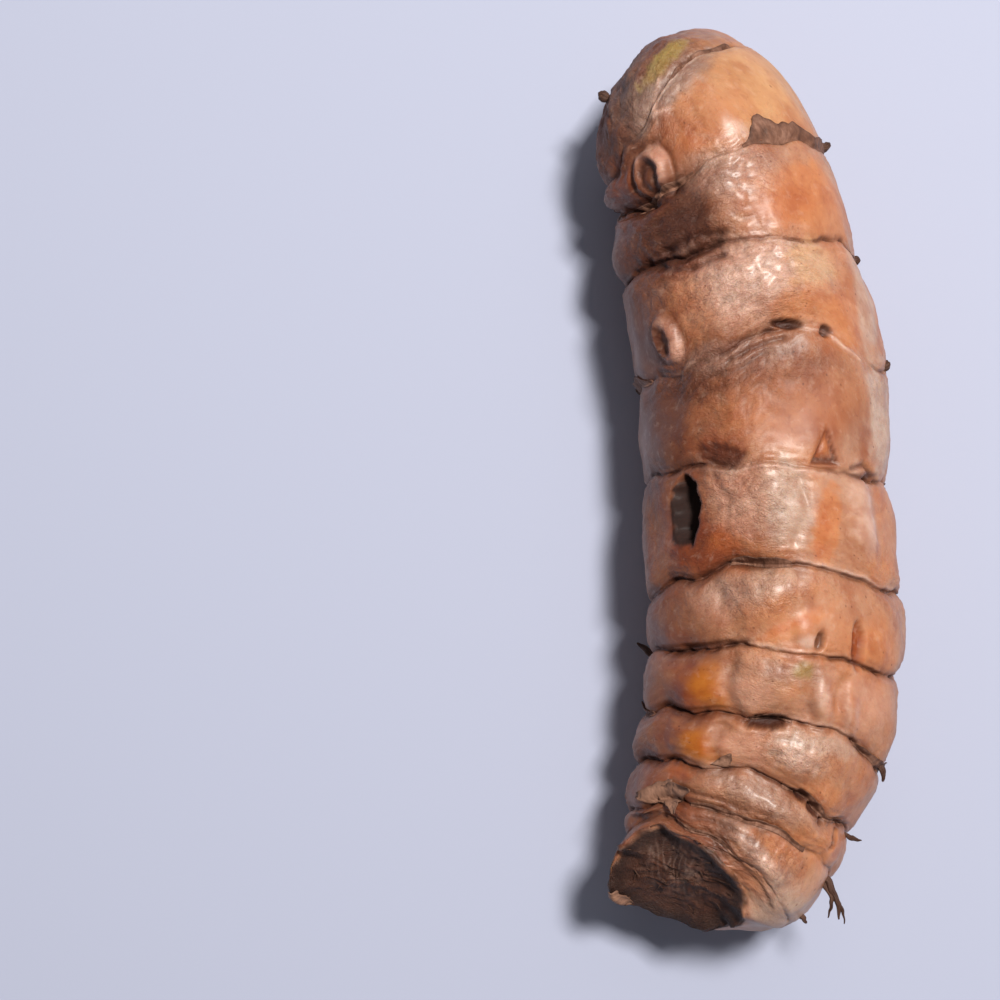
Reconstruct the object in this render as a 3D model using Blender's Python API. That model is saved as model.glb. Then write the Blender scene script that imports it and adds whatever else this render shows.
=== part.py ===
"""A fresh turmeric root lying on its side, made as the one grown piece that it is.

The body is a loft through tilted oval rings. Each ring is a leaf scar that circles the root, and the
flesh between two rings swells like a barrel. The tip closes in a slanted dome. The other end is the
flat scar where the root was broken from its mother plant, and it faces up and back. Side buds, root
stubs and one sunken bud eye are then joined to the body or cut from it.

Metres, +Z up, the tip towards +Y. The origin lies on the surface that the root rests on, under the
middle of the root.
"""

import math
from collections import namedtuple

import bmesh
import bpy
from mathutils import Matrix, Vector

MM = 0.001

# Driving dimensions. The tables below were drawn in millimetres for a root of the drawn size.
LENGTH = 0.0905
THICKNESS = 0.0250
DRAWN_LENGTH = 90.5
DRAWN_THICKNESS = 25.0
ALONG = LENGTH / DRAWN_LENGTH
ACROSS = THICKNESS / DRAWN_THICKNESS

# How much the belly is flattened where the root's weight rests on it.
SETTLE = 0.018 * THICKNESS

# One leaf scar: the middle of its oval, how far it turns about +Z, how far its top leans towards the
# tip, its two radii, and how it waves along the root in two and in three slow ripples round it.
# From the broken end to the tip, in drawn millimetres and degrees.
Ring = namedtuple("Ring", "aside along lift turn lean half_width half_height cos2 sin2 cos3 sin3")
RINGS = (
    Ring(-7.8, -39.7, 16.0, -34, 48, 7.0, 6.8, 0.3, -0.9, -0.6, 0.3),
    Ring(-4.9, -39.1, 13.4, -33, 29, 9.2, 8.8, -0.4, -0.7, 0.1, 0.0),
    Ring(-2.6, -36.0, 11.8, -21, 22, 10.4, 9.9, 0.0, 0.3, 0.1, -0.3),
    Ring(-1.1, -31.8, 11.1, -19, 19, 11.1, 10.4, -0.3, -0.4, 0.5, 0.3),
    Ring(0.9, -25.7, 11.1, -14, 13, 12.0, 11.2, 0.5, 0.1, 0.1, 0.4),
    Ring(2.0, -18.3, 11.2, -4, 10, 12.3, 11.5, -0.3, -0.9, 0.6, 0.6),
    Ring(2.0, -11.5, 11.3, -1, 16, 12.3, 11.5, 0.1, 0.0, 0.4, -0.5),
    Ring(1.2, -0.3, 11.3, 1, 9, 11.9, 11.3, 0.0, -1.2, 0.1, 0.7),
    Ring(0.9, 10.3, 11.2, 7, 15, 12.0, 11.3, 0.0, -0.6, 1.2, 0.9),
    Ring(-1.4, 21.2, 11.0, 1, 5, 11.6, 11.0, 1.6, 1.4, -0.9, -0.8),
    Ring(-3.4, 29.8, 10.8, 15, 5, 10.6, 10.2, 0.3, 1.1, 0.6, 0.0),
    Ring(-7.3, 36.4, 10.8, 46, 13, 9.7, 8.6, 0.6, 0.1, 0.1, 0.2),
)

# How a ring's waves die down from the top of the root to the belly.
WAVE_TOP, WAVE_DROP = 0.6, 0.4

# How far the flesh swells between each ring and the next, how full that swelling is, and the crease
# that each ring presses into the skin.
SWELLS = (0.2, 0.4, 0.55, 0.6, 0.7, 0.7, 0.7, 0.5, 0.5, 0.6, 1.0)
SWELL_FULLNESS = 0.8
CREASE_DEPTH = 0.45
CREASE_WIDTH = 0.9

# The rounded tip beyond the last ring, and the hollow in the broken face.
TIP_DOME = 5.6
SCAR_HOLLOW = 0.5

# The loft's grid: points round a ring, and where its rows lie between two rings, on the tip and on the
# broken face.
AROUND = 36
ROWS = (0.0, 0.08, 0.22, 0.41, 0.59, 0.78, 0.92)
DOME_ROWS = 7
SCAR_ROWS = (0.9, 0.5)

# Side growths. Each is placed by a ring count from the broken end, where 11 is the last ring and 12 the
# very tip, and by an angle in degrees from the top of the root. Sizes are in drawn millimetres.
Bud = namedtuple("Bud", "name ring angle radius_along radius_round height")
BUDS = (
    Bud("crown_bud", 10.28, -38.0, 2.7, 2.7, 1.2),
    Bud("flank_bud", 8.33, -49.0, 2.5, 1.4, 1.1),
)
EYE = Bud("sunken_eye", 6.62, -48.0, 2.8, 1.5, 1.1)
BUD_SUNK = 0.2
EYE_SUNK = -0.3
KNOB_SIDES = 16
KNOB_ROWS = 10

Stub = namedtuple("Stub", "name ring angle radius length")
STUBS = (
    Stub("root_stub_a", 2.88, 72.0, 0.55, 1.8),
    Stub("root_stub_b", 1.76, 80.0, 0.70, 2.8),
    Stub("root_stub_c", 11.40, -60.0, 0.60, 1.4),
)
STUB_SUNK = 1.0
STUB_TAPER = 0.6
STUB_SIDES = 10

SKIN = {"colour": (0.49, 0.25, 0.14, 1.0), "roughness": 0.5, "metallic": 0.0}


def on_curve(values, at):
    """The value at a fractional place on the smooth curve through a row of values."""
    last = len(values) - 1
    i = min(int(at), last - 1)
    f = at - i
    before, start, end, after = (values[min(max(j, 0), last)] for j in (i - 1, i, i + 1, i + 2))
    slope_in, slope_out = (end - before) / 2, (after - start) / 2
    return (
        start * (2 * f**3 - 3 * f**2 + 1)
        + slope_in * (f**3 - 2 * f**2 + f)
        + end * (3 * f**2 - 2 * f**3)
        + slope_out * (f**3 - f**2)
    )


def ring_at(place):
    """The oval at a fractional ring count."""
    return Ring(*(on_curve([ring[i] for ring in RINGS], place) for i in range(len(Ring._fields))))


def ring_axes(ring):
    """Unit vectors of a ring: across the root, up, and along it towards the tip."""
    turn, lean = math.radians(ring.turn), math.radians(ring.lean)
    across = Vector((math.cos(turn), math.sin(turn), 0.0))
    up = Vector((-math.sin(turn) * math.sin(lean), math.cos(turn) * math.sin(lean), math.cos(lean)))
    return across, up, up.cross(across)


def wave(ring, angle):
    """How far a ring strays along the root at an angle. Its waves die down under the belly."""
    twos = ring.cos2 * math.cos(2 * angle) + ring.sin2 * math.sin(2 * angle)
    threes = ring.cos3 * math.cos(3 * angle) + ring.sin3 * math.sin(3 * angle)
    return (WAVE_TOP + WAVE_DROP * math.cos(angle)) * (twos + threes)


def swell(place):
    """How far the skin stands out from the plain oval at a fractional ring count."""
    segment = min(int(place), len(SWELLS) - 1)
    f = min(max(place - segment, 0.0), 1.0)
    start, end = RINGS[segment], RINGS[segment + 1]
    long = math.dist((start.aside, start.along), (end.aside, end.along))
    edge = min(f, 1 - f) * long / CREASE_WIDTH
    crease = CREASE_DEPTH * max(0.0, 1 - edge) ** 2
    return SWELLS[segment] * math.sin(math.pi * f) ** SWELL_FULLNESS - crease


def drawn_to_metres(point):
    return Vector((point.x * ACROSS, point.y * ALONG, point.z * ACROSS))


def body_point(place, angle):
    """A point of the skin, at a fractional ring count and an angle from the top, in drawn millimetres."""
    ring = ring_at(place)
    across, up, ahead = ring_axes(ring)
    out = swell(place)
    return (
        Vector((ring.aside, ring.along, ring.lift))
        + across * (ring.half_width + out) * math.sin(angle)
        + up * (ring.half_height + out) * math.cos(angle)
        + ahead * wave(ring, angle)
    )


def dome_point(share, angle):
    """A point of the tip, with share 0 on the last ring and 1 at the very tip."""
    last = RINGS[-1]
    across, up, ahead = ring_axes(last)
    rise, shrink = math.sin(share * math.pi / 2), math.cos(share * math.pi / 2)
    out = -CREASE_DEPTH * (1 - rise) ** 8
    return (
        Vector((last.aside, last.along, last.lift))
        + across * (last.half_width + out) * math.sin(angle) * shrink
        + up * (last.half_height + out) * math.cos(angle) * shrink
        + ahead * (TIP_DOME * rise + wave(last, angle) * shrink)
    )


def skin_point(place, angle):
    """A point of the body or of the tip, which runs on from the last ring."""
    last = len(RINGS) - 1
    if place > last:
        return dome_point(place - last, angle)
    return body_point(place, angle)


def scar_point(share, angle):
    """A point of the broken face, with share 1 on its rim and 0 in the middle."""
    rim = body_point(0.0, angle)
    first = RINGS[0]
    middle = Vector((first.aside, first.along, first.lift))
    ahead = ring_axes(first)[2]
    return middle.lerp(rim, share) + ahead * SCAR_HOLLOW * (1 - share**4)


def loft_points():
    """The rows of the loft from the broken face to the tip, in metres, with a pole at each end."""
    angles = [2 * math.pi * i / AROUND for i in range(AROUND)]
    rows = [[scar_point(share, a) for a in angles] for share in reversed(SCAR_ROWS)]
    for segment in range(len(RINGS) - 1):
        rows += [[body_point(segment + f, a) for a in angles] for f in ROWS]
    rows += [[dome_point(i / DOME_ROWS, a) for a in angles] for i in range(DOME_ROWS)]
    poles = scar_point(0.0, 0.0), dome_point(1.0, 0.0)
    metres = [[drawn_to_metres(p) for p in row] for row in rows]
    return metres, [drawn_to_metres(p) for p in poles]


def new_object(name, bm):
    bmesh.ops.recalc_face_normals(bm, faces=bm.faces)
    mesh = bpy.data.meshes.new(name)
    bm.to_mesh(mesh)
    bm.free()
    obj = bpy.data.objects.new(name, mesh)
    bpy.context.scene.collection.objects.link(obj)
    return obj


def make_body():
    rows, poles = loft_points()
    bm = bmesh.new()
    grid = [[bm.verts.new(p) for p in row] for row in rows]
    for row, following in zip(grid, grid[1:]):
        for i in range(AROUND):
            j = (i + 1) % AROUND
            bm.faces.new((row[i], row[j], following[j], following[i]))
    for row, pole in ((grid[0], poles[0]), (grid[-1], poles[1])):
        tip = bm.verts.new(pole)
        for i in range(AROUND):
            bm.faces.new((row[i], row[(i + 1) % AROUND], tip))
    return new_object("turmeric_root", bm)


def skin_frame(place, angle_degrees):
    """A matrix at a place on the skin: X along the root, Y round it and Z straight out."""
    step = 0.01
    angle = math.radians(angle_degrees)
    here = drawn_to_metres(skin_point(place, angle))
    along = drawn_to_metres(skin_point(place + step, angle)) - here
    aside = drawn_to_metres(skin_point(place, angle + step)) - here
    out = aside.cross(along).normalized()
    along = (along - out * along.dot(out)).normalized()
    frame = Matrix((along, out.cross(along), out)).transposed().to_4x4()
    return Matrix.Translation(here) @ frame


def as_helper(obj):
    """Marks a shape that is only joined to the root or cut from it."""
    obj.hide_render = True
    obj.display_type = "WIRE"
    return obj


def make_knob(bud, sunk):
    """A rounded growth or hollow. Its middle lies below the skin by a share of its height."""
    bm = bmesh.new()
    bmesh.ops.create_uvsphere(bm, u_segments=KNOB_SIDES, v_segments=KNOB_ROWS, radius=MM)
    size = Vector((bud.radius_along, bud.radius_round, bud.height))
    bmesh.ops.scale(bm, vec=size, verts=bm.verts)
    bmesh.ops.translate(bm, vec=(0, 0, -sunk * bud.height * MM), verts=bm.verts)
    bmesh.ops.transform(bm, matrix=skin_frame(bud.ring, bud.angle), verts=bm.verts)
    return as_helper(new_object(bud.name, bm))


def make_stub(stub):
    """A dried root stub, a short cone that starts inside the flesh."""
    bm = bmesh.new()
    tall = (stub.length + STUB_SUNK) * MM
    bmesh.ops.create_cone(
        bm,
        cap_ends=True,
        segments=STUB_SIDES,
        radius1=stub.radius * MM,
        radius2=stub.radius * STUB_TAPER * MM,
        depth=tall,
    )
    bmesh.ops.translate(bm, vec=(0, 0, tall / 2 - STUB_SUNK * MM), verts=bm.verts)
    bmesh.ops.transform(bm, matrix=skin_frame(stub.ring, stub.angle), verts=bm.verts)
    return as_helper(new_object(stub.name, bm))


def set_down(body, growths):
    """Brings the root to rest, with the origin under its middle and its belly sunk by SETTLE."""
    points = [v.co for obj in (body, *growths) for v in obj.data.vertices]
    low = [min(p[i] for p in points) for i in range(3)]
    high = [max(p[i] for p in points) for i in range(3)]
    move = Matrix.Translation((-(low[0] + high[0]) / 2, -(low[1] + high[1]) / 2, -low[2] - SETTLE))
    for obj in (body, *growths):
        obj.data.transform(move)


def make_rest_block():
    """A block under the resting surface, which trims the belly flat."""
    bm = bmesh.new()
    side = 2 * LENGTH
    bmesh.ops.create_cube(bm, size=side)
    bmesh.ops.translate(bm, vec=(0, 0, -side / 2), verts=bm.verts)
    return as_helper(new_object("rest_block", bm))


def add_boolean(body, helper, operation):
    modifier = body.modifiers.new(helper.name, "BOOLEAN")
    modifier.object = helper
    modifier.operation = operation
    modifier.solver = "EXACT"


def paint(obj):
    material = bpy.data.materials.new("turmeric_skin")
    material.use_nodes = True
    shader = material.node_tree.nodes["Principled BSDF"]
    shader.inputs["Base Color"].default_value = SKIN["colour"]
    shader.inputs["Roughness"].default_value = SKIN["roughness"]
    shader.inputs["Metallic"].default_value = SKIN["metallic"]
    obj.data.materials.append(material)
    obj.data.shade_smooth()


def main():
    for obj in list(bpy.data.objects):
        bpy.data.objects.remove(obj, do_unlink=True)
    body = make_body()
    growths = [make_knob(bud, BUD_SUNK) for bud in BUDS] + [make_stub(stub) for stub in STUBS]
    eye = make_knob(EYE, EYE_SUNK)
    set_down(body, growths + [eye])
    for growth in growths:
        add_boolean(body, growth, "UNION")
    add_boolean(body, eye, "DIFFERENCE")
    add_boolean(body, make_rest_block(), "DIFFERENCE")
    paint(body)


main()
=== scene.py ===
# A fresh turmeric root on a pale table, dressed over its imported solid
import math
import bpy
import numpy as np
from mathutils import Matrix


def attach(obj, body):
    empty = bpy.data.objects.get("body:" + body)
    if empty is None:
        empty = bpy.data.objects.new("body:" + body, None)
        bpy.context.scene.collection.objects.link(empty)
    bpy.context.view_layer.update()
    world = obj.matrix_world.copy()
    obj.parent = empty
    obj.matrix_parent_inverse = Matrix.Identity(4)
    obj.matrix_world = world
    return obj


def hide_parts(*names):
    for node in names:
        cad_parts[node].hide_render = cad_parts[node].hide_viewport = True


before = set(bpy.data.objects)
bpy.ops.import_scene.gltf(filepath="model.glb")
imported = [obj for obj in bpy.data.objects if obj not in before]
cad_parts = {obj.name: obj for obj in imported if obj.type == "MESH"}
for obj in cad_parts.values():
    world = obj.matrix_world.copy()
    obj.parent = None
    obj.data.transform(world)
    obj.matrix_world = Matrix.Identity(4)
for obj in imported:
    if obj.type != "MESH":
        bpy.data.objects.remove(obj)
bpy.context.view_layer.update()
print("frame loaded")

mm = 0.001
rng = np.random.default_rng(41)

# small helpers for smooth numbers

def ease(low, high, value):  # 0 below low, 1 above high, smooth between
    f = np.clip((value - low) / (high - low), 0, 1)
    return f * f * (3 - 2 * f)

def blend(a, b, share):
    return a + (b - a) * share

compass = rng.normal(size=(64, 3))
compass /= np.linalg.norm(compass, axis=1)[:, None]

def grain(points, size, seed=0):  # smooth lumps of the given size in millimetres, about -1 to 1
    q = points / np.asarray(size, float) + (seed * 7.31, seed * 3.17, seed * 5.77)
    cell = np.floor(q).astype(np.int64)
    f = q - cell
    w = f * f * f * (f * (f * 6 - 15) + 10)
    total = np.zeros(q.shape[:-1])
    for corner in range(8):
        step = np.array((corner & 1, corner >> 1 & 1, corner >> 2 & 1))
        x, y, z = np.moveaxis(cell + step, -1, 0)
        mixed = (x * 73856093 ^ y * 19349663 ^ z * 83492791 ^ seed * 2654435) & 0xFFFFFF
        mixed = (mixed * 1103515 + (mixed >> 7)) & 0xFFFFFF
        slope = compass[(mixed >> 5) % 64]
        weight = np.prod(np.where(step, w, 1 - w), axis=-1)
        total += weight * ((f - step) * slope).sum(-1)
    return total * 1.7

def layered(points, size, seed=0, layers=3):
    size = np.asarray(size, float)
    return sum(grain(points, size / 2**i, seed + i * 13) / 2**i for i in range(layers)) / 1.5

def ridged(points, size, seed=0):  # thin raised lines between wider hollows, 0 to 1
    return 1 - np.clip(np.abs(grain(points, size, seed)) * 2.4, 0, 1)

# the plain root
# Each leaf scar: middle (aside, along, lift), turn and lean in degrees, half width and half height,
# then how it waves along the root. Millimetres, from the broken end to the tip.

leafScars = np.array((
    (-7.8, -39.7, 16.0, -34, 48, 7.0, 6.8, 0.3, -0.9, -0.6, 0.3),
    (-4.9, -39.1, 13.4, -33, 29, 9.2, 8.8, -0.4, -0.7, 0.1, 0.0),
    (-2.6, -36.0, 11.8, -21, 22, 10.4, 9.9, 0.0, 0.3, 0.1, -0.3),
    (-1.1, -31.8, 11.1, -19, 19, 11.1, 10.4, -0.3, -0.4, 0.5, 0.3),
    (0.9, -25.7, 11.1, -14, 13, 12.0, 11.2, 0.5, 0.1, 0.1, 0.4),
    (2.0, -18.3, 11.2, -4, 10, 12.3, 11.5, -0.3, -0.9, 0.6, 0.6),
    (2.0, -11.5, 11.3, -1, 16, 12.3, 11.5, 0.1, 0.0, 0.4, -0.5),
    (1.2, -0.3, 11.3, 1, 9, 11.9, 11.3, 0.0, -1.2, 0.1, 0.7),
    (0.9, 10.3, 11.2, 7, 15, 12.0, 11.3, 0.0, -0.6, 1.2, 0.9),
    (-1.4, 21.2, 11.0, 1, 5, 11.6, 11.0, 1.6, 1.4, -0.9, -0.8),
    (-3.4, 29.8, 10.8, 15, 5, 10.6, 10.2, 0.3, 1.1, 0.6, 0.0),
    (-7.3, 36.4, 10.8, 46, 13, 9.7, 8.6, 0.6, 0.1, 0.1, 0.2),
))
root = {
    "around": 220,  # columns round the root
    "crowding": 0.34,  # how much closer they stand on top
    "pole": 0.985,  # how near the rows come to the middle of the broken face and of the tip
    "rows": (16, 22, 28, 34, 34, 32, 42, 42, 42, 36, 38),  # rows between leaf scars
    "tipRows": 44, "scarRows": 32,
    "tipDome": 7.3, "tipLean": 0.9, "scarHollow": 0.5,
    "swells": (0.0, 0.22, 0.30, 0.45, 0.55, 0.6, 0.42, 0.35, 0.42, 0.45, 0.65),
    "drawnOffset": (0.490, 0.740, 0.283),  # from the drawn table to the frame, millimetres
}
tipRing = len(leafScars) - 1
wobbles = np.arange(4, 15)
wobbleSizes = rng.normal(size=(tipRing + 1, 2, len(wobbles))) * 0.5 / wobbles

def onCurve(table, at):
    last = len(table) - 1
    i = np.minimum(at.astype(int), last - 1)
    f = (at - i).reshape(at.shape + (1,) * (table.ndim - 1))
    before, start, end, after = (table[np.clip(i + j, 0, last)] for j in (-1, 0, 1, 2))
    slopeIn, slopeOut = (end - before) / 2, (after - start) / 2
    return (start * (2 * f**3 - 3 * f**2 + 1) + slopeIn * (f**3 - 2 * f**2 + f)
            + end * (3 * f**2 - 2 * f**3) + slopeOut * (f**3 - f**2))

def plainPoint(place, angle):  # place: -1 middle of the broken face, 0 its rim, 11 last leaf scar, 12 tip
    at = np.clip(place, 0.0, tipRing)
    values = np.moveaxis(onCurve(leafScars, at), -1, 0)
    aside, along, lift, turn, lean, halfWidth, halfHeight, *waves = values
    turn, lean = np.radians(turn), np.radians(lean)
    across = np.stack((np.cos(turn), np.sin(turn), 0 * turn), -1)
    up = np.stack((-np.sin(turn) * np.sin(lean), np.cos(turn) * np.sin(lean), np.cos(lean)), -1)
    ahead = np.cross(up, across)
    beyond, inside = np.clip(place - tipRing, 0, 1), np.clip(-place, 0, 1)
    shrink = np.cos(beyond * math.pi / 2) * (1 - inside)
    slow = waves[0] * np.cos(2 * angle) + waves[1] * np.sin(2 * angle)
    slow = slow + waves[2] * np.cos(3 * angle) + waves[3] * np.sin(3 * angle)
    turns = angle[..., None] * wobbles
    quick = onCurve(wobbleSizes, at)
    quick = (quick[..., 0, :] * np.cos(turns) + quick[..., 1, :] * np.sin(turns)).sum(-1)
    far = (0.6 + 0.4 * np.cos(angle)) * slow * shrink + quick * shrink**2
    far = far + root["tipDome"] * np.sin(beyond * math.pi / 2) + root["scarHollow"] * (1 - (1 - inside) ** 4)
    middle = np.stack((aside, along, lift), -1)
    wide, high = halfWidth * np.sin(angle) * shrink, halfHeight * np.cos(angle) * shrink
    wide = wide + root["tipLean"] * np.sin(beyond * math.pi / 2) ** 2
    return middle + across * wide[..., None] + up * high[..., None] + ahead * far[..., None]

def normalsOf(grid):  # grid rows run along the root, columns round it
    along = np.gradient(grid, axis=0)
    around = np.roll(grid, -1, axis=1) - np.roll(grid, 1, axis=1)
    out = np.cross(along, around)
    out /= np.maximum(np.linalg.norm(out, axis=-1), 1e-9)[..., None]
    return out if out[len(out) // 2, 0, 2] < 0 else -out  # the first column lies under the belly

columns = np.linspace(-math.pi, math.pi, root["around"], endpoint=False)
angles = columns - root["crowding"] * np.sin(columns)
rowPlaces = list(-np.linspace(root["pole"], 0.0, root["scarRows"], endpoint=False) ** 0.8)
for segment, count in enumerate(root["rows"]):
    share = np.arange(count) / count
    rowPlaces += list(segment + share - 0.6 * np.sin(2 * math.pi * share) / (2 * math.pi))
rowPlaces += list(tipRing + root["pole"] * np.linspace(0, 1, root["tipRows"]) ** 1.15)
rowPlaces = np.array(rowPlaces)
place, angle = np.meshgrid(rowPlaces, angles, indexing="ij")
plain = plainPoint(place, angle)
outward = normalsOf(plain)
print("plain root laid out", plain.shape)

# straightened coordinates: round the root as on a bar, and along it as unrolled
steps = np.linalg.norm(np.diff(leafScars[:, :3], axis=0), axis=1)
stations = np.concatenate(((0,), np.cumsum(steps)))
pastTip, pastBreak = np.clip(place - tipRing, 0, 1), np.clip(place, -1, 0)
faceReach, tipReach = 7, 9  # millimetres from the rim to the middle of the break, and over the tip
alongBar = np.interp(place, np.arange(tipRing + 1), stations) + pastTip * tipReach + pastBreak * faceReach
girth = onCurve(leafScars[:, 5:7], np.clip(place, 0, tipRing)).mean(-1)
girth = girth * np.cos(pastTip * math.pi / 2) * (1 + pastBreak)
straight = np.stack((girth * np.sin(angle), alongBar, girth * np.cos(angle)), -1)

# millimetres to the nearest leaf scar: above 0 just tipwards of it, below 0 just before it
onScars = plainPoint(*np.meshgrid(np.arange(tipRing + 1.0), angles, indexing="ij"))
spans = np.linalg.norm(np.diff(onScars, axis=0), axis=-1)
segment = np.clip(place.astype(int), 0, tipRing - 1)
within = place - segment
span = np.take_along_axis(spans, segment, axis=0)
fromLower, toUpper = within * span, (1 - within) * span
seam = np.where(fromLower < toUpper, fromLower, -toUpper)
seam = np.where(place > tipRing, (place - tipRing) * 12, np.where(place < 0, place * faceReach, seam))
nearest = np.where(seam >= 0, np.floor(place + 1e-9), np.ceil(place)).clip(0, tipRing)
# a place of its own for every leaf scar, for what varies round it
ringWay = np.stack((9 * np.sin(angle), nearest * 31.7, 9 * np.cos(angle)), -1)

wobbleKinds = [(size, grain(straight, size, 50 + i)) for i, size in enumerate((0.7, 1.1, 1.8, 2.8, 4.5))]

def wobbleField(size, seed):  # noise of about the size asked for, shifted round the root by the seed
    kind = min(wobbleKinds, key=lambda k: abs(math.log(k[0] / size)))
    return np.roll(kind[1], seed * 17 % root["around"], axis=1)

def turnedBy(degrees, forward, sideways):
    cosine, sine = math.cos(math.radians(degrees)), math.sin(math.radians(degrees))
    return forward * cosine - sideways * sine, forward * sine + sideways * cosine

def nearby(at, turnRound, turned=0):  # millimetres along, round and off the skin from one place on it
    here = np.radians(turnRound)
    step = 0.01
    ends = plainPoint(np.array((at, at + step, at)), np.array((here, here, here + step)))
    centre = ends[0]
    forward = (ends[1] - centre) / np.linalg.norm(ends[1] - centre)
    sideways = ends[2] - centre
    sideways = sideways - forward * (sideways @ forward)
    sideways /= np.linalg.norm(sideways)
    away = plain - centre
    a, b = turnedBy(-turned, away @ forward, away @ sideways)
    return a, b, away @ np.cross(forward, sideways)

# an oval share, 1 in its middle and 0 outside
def spot(at, turnRound, along, around, turned=0, soft=0.4, wobble=0.12, seed=0):
    a, b, c = nearby(at, turnRound, turned)
    r = np.sqrt((a / along) ** 2 + (b / around) ** 2 + (c / 9) ** 2)
    if wobble:
        coarse = wobbleField(min(along, around) * 0.8 + 0.3, seed)
        r = r * (1 + wobble * coarse) + wobble * 0.4 * wobbleField(0.9, seed + 5)
    return 1 - ease(1 - soft, 1 + soft, r)

def wedge(at, turnRound, long, wide, turned=0, soft=0.15):  # a three-cornered share, widest at its place
    a, b, c = nearby(at, turnRound, turned)
    inside = np.minimum(np.clip(1 - a / long, 0, 1) * wide / 2 - np.abs(b), np.minimum(a, long - a))
    return ease(-soft, soft, inside) * (np.abs(c) < 4)

def stroke(stops, width, wobble=0.3, seed=0):  # a share that fades away from a line over the skin
    at, turnRound = np.array(stops, float).T
    t = np.linspace(0, len(stops) - 1, 12 * (len(stops) - 1) + 1)
    knots = range(len(at))
    line = plainPoint(np.interp(t, knots, at), np.radians(np.interp(t, knots, turnRound)))
    reach = np.full(place.shape, 9.0)
    low, high = line.min(0) - 3, line.max(0) + 3
    near = ((plain > low) & (plain < high)).all(-1)
    reach[near] = np.linalg.norm(plain[near][:, None] - line[None], axis=-1).min(1)
    reach = reach * (1 + wobble * wobbleField(1.1, seed + 3))
    return np.exp(-((reach / width) ** 2))

# skin relief, in millimetres
skin = {
    "foldWide": 0.85, "cutWide": 0.15, "lipHigh": 0.20, "stepHigh": 0.16,
    "lumps": 0.38, "wrinkles": 0.15, "pleatHigh": 0.088, "pleatApart": 0.8, "eyeDeep": 2.1,
    # smooth and crinkled areas: place, angle, half length, half width
    "smooth": ((10.5, 35, 7, 8), (9.4, 30, 4.5, 6), (8.7, 34, 4, 4), (8.3, 48, 4, 5),
               (7.4, 24, 4, 5), (6.6, 30, 5, 5), (5.4, 12, 3, 6), (4.4, -36, 3, 3),
               (3.4, -40, 3, 3), (9.2, 150, 5, 6), (5.5, -140, 5, 6)),
    "crinkled": ((9.75, 0, 4, 4.5), (8.62, -12, 5, 8), (7.85, -22, 3, 8), (6.7, -18, 4, 5),
                 (2.5, 4, 2, 6), (1.4, 6, 2, 6), (11.5, -40, 9, 9), (5.7, -12, 2, 4),
                 (9.4, -40, 4, 6), (3.6, 14, 2, 4)),
}
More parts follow.
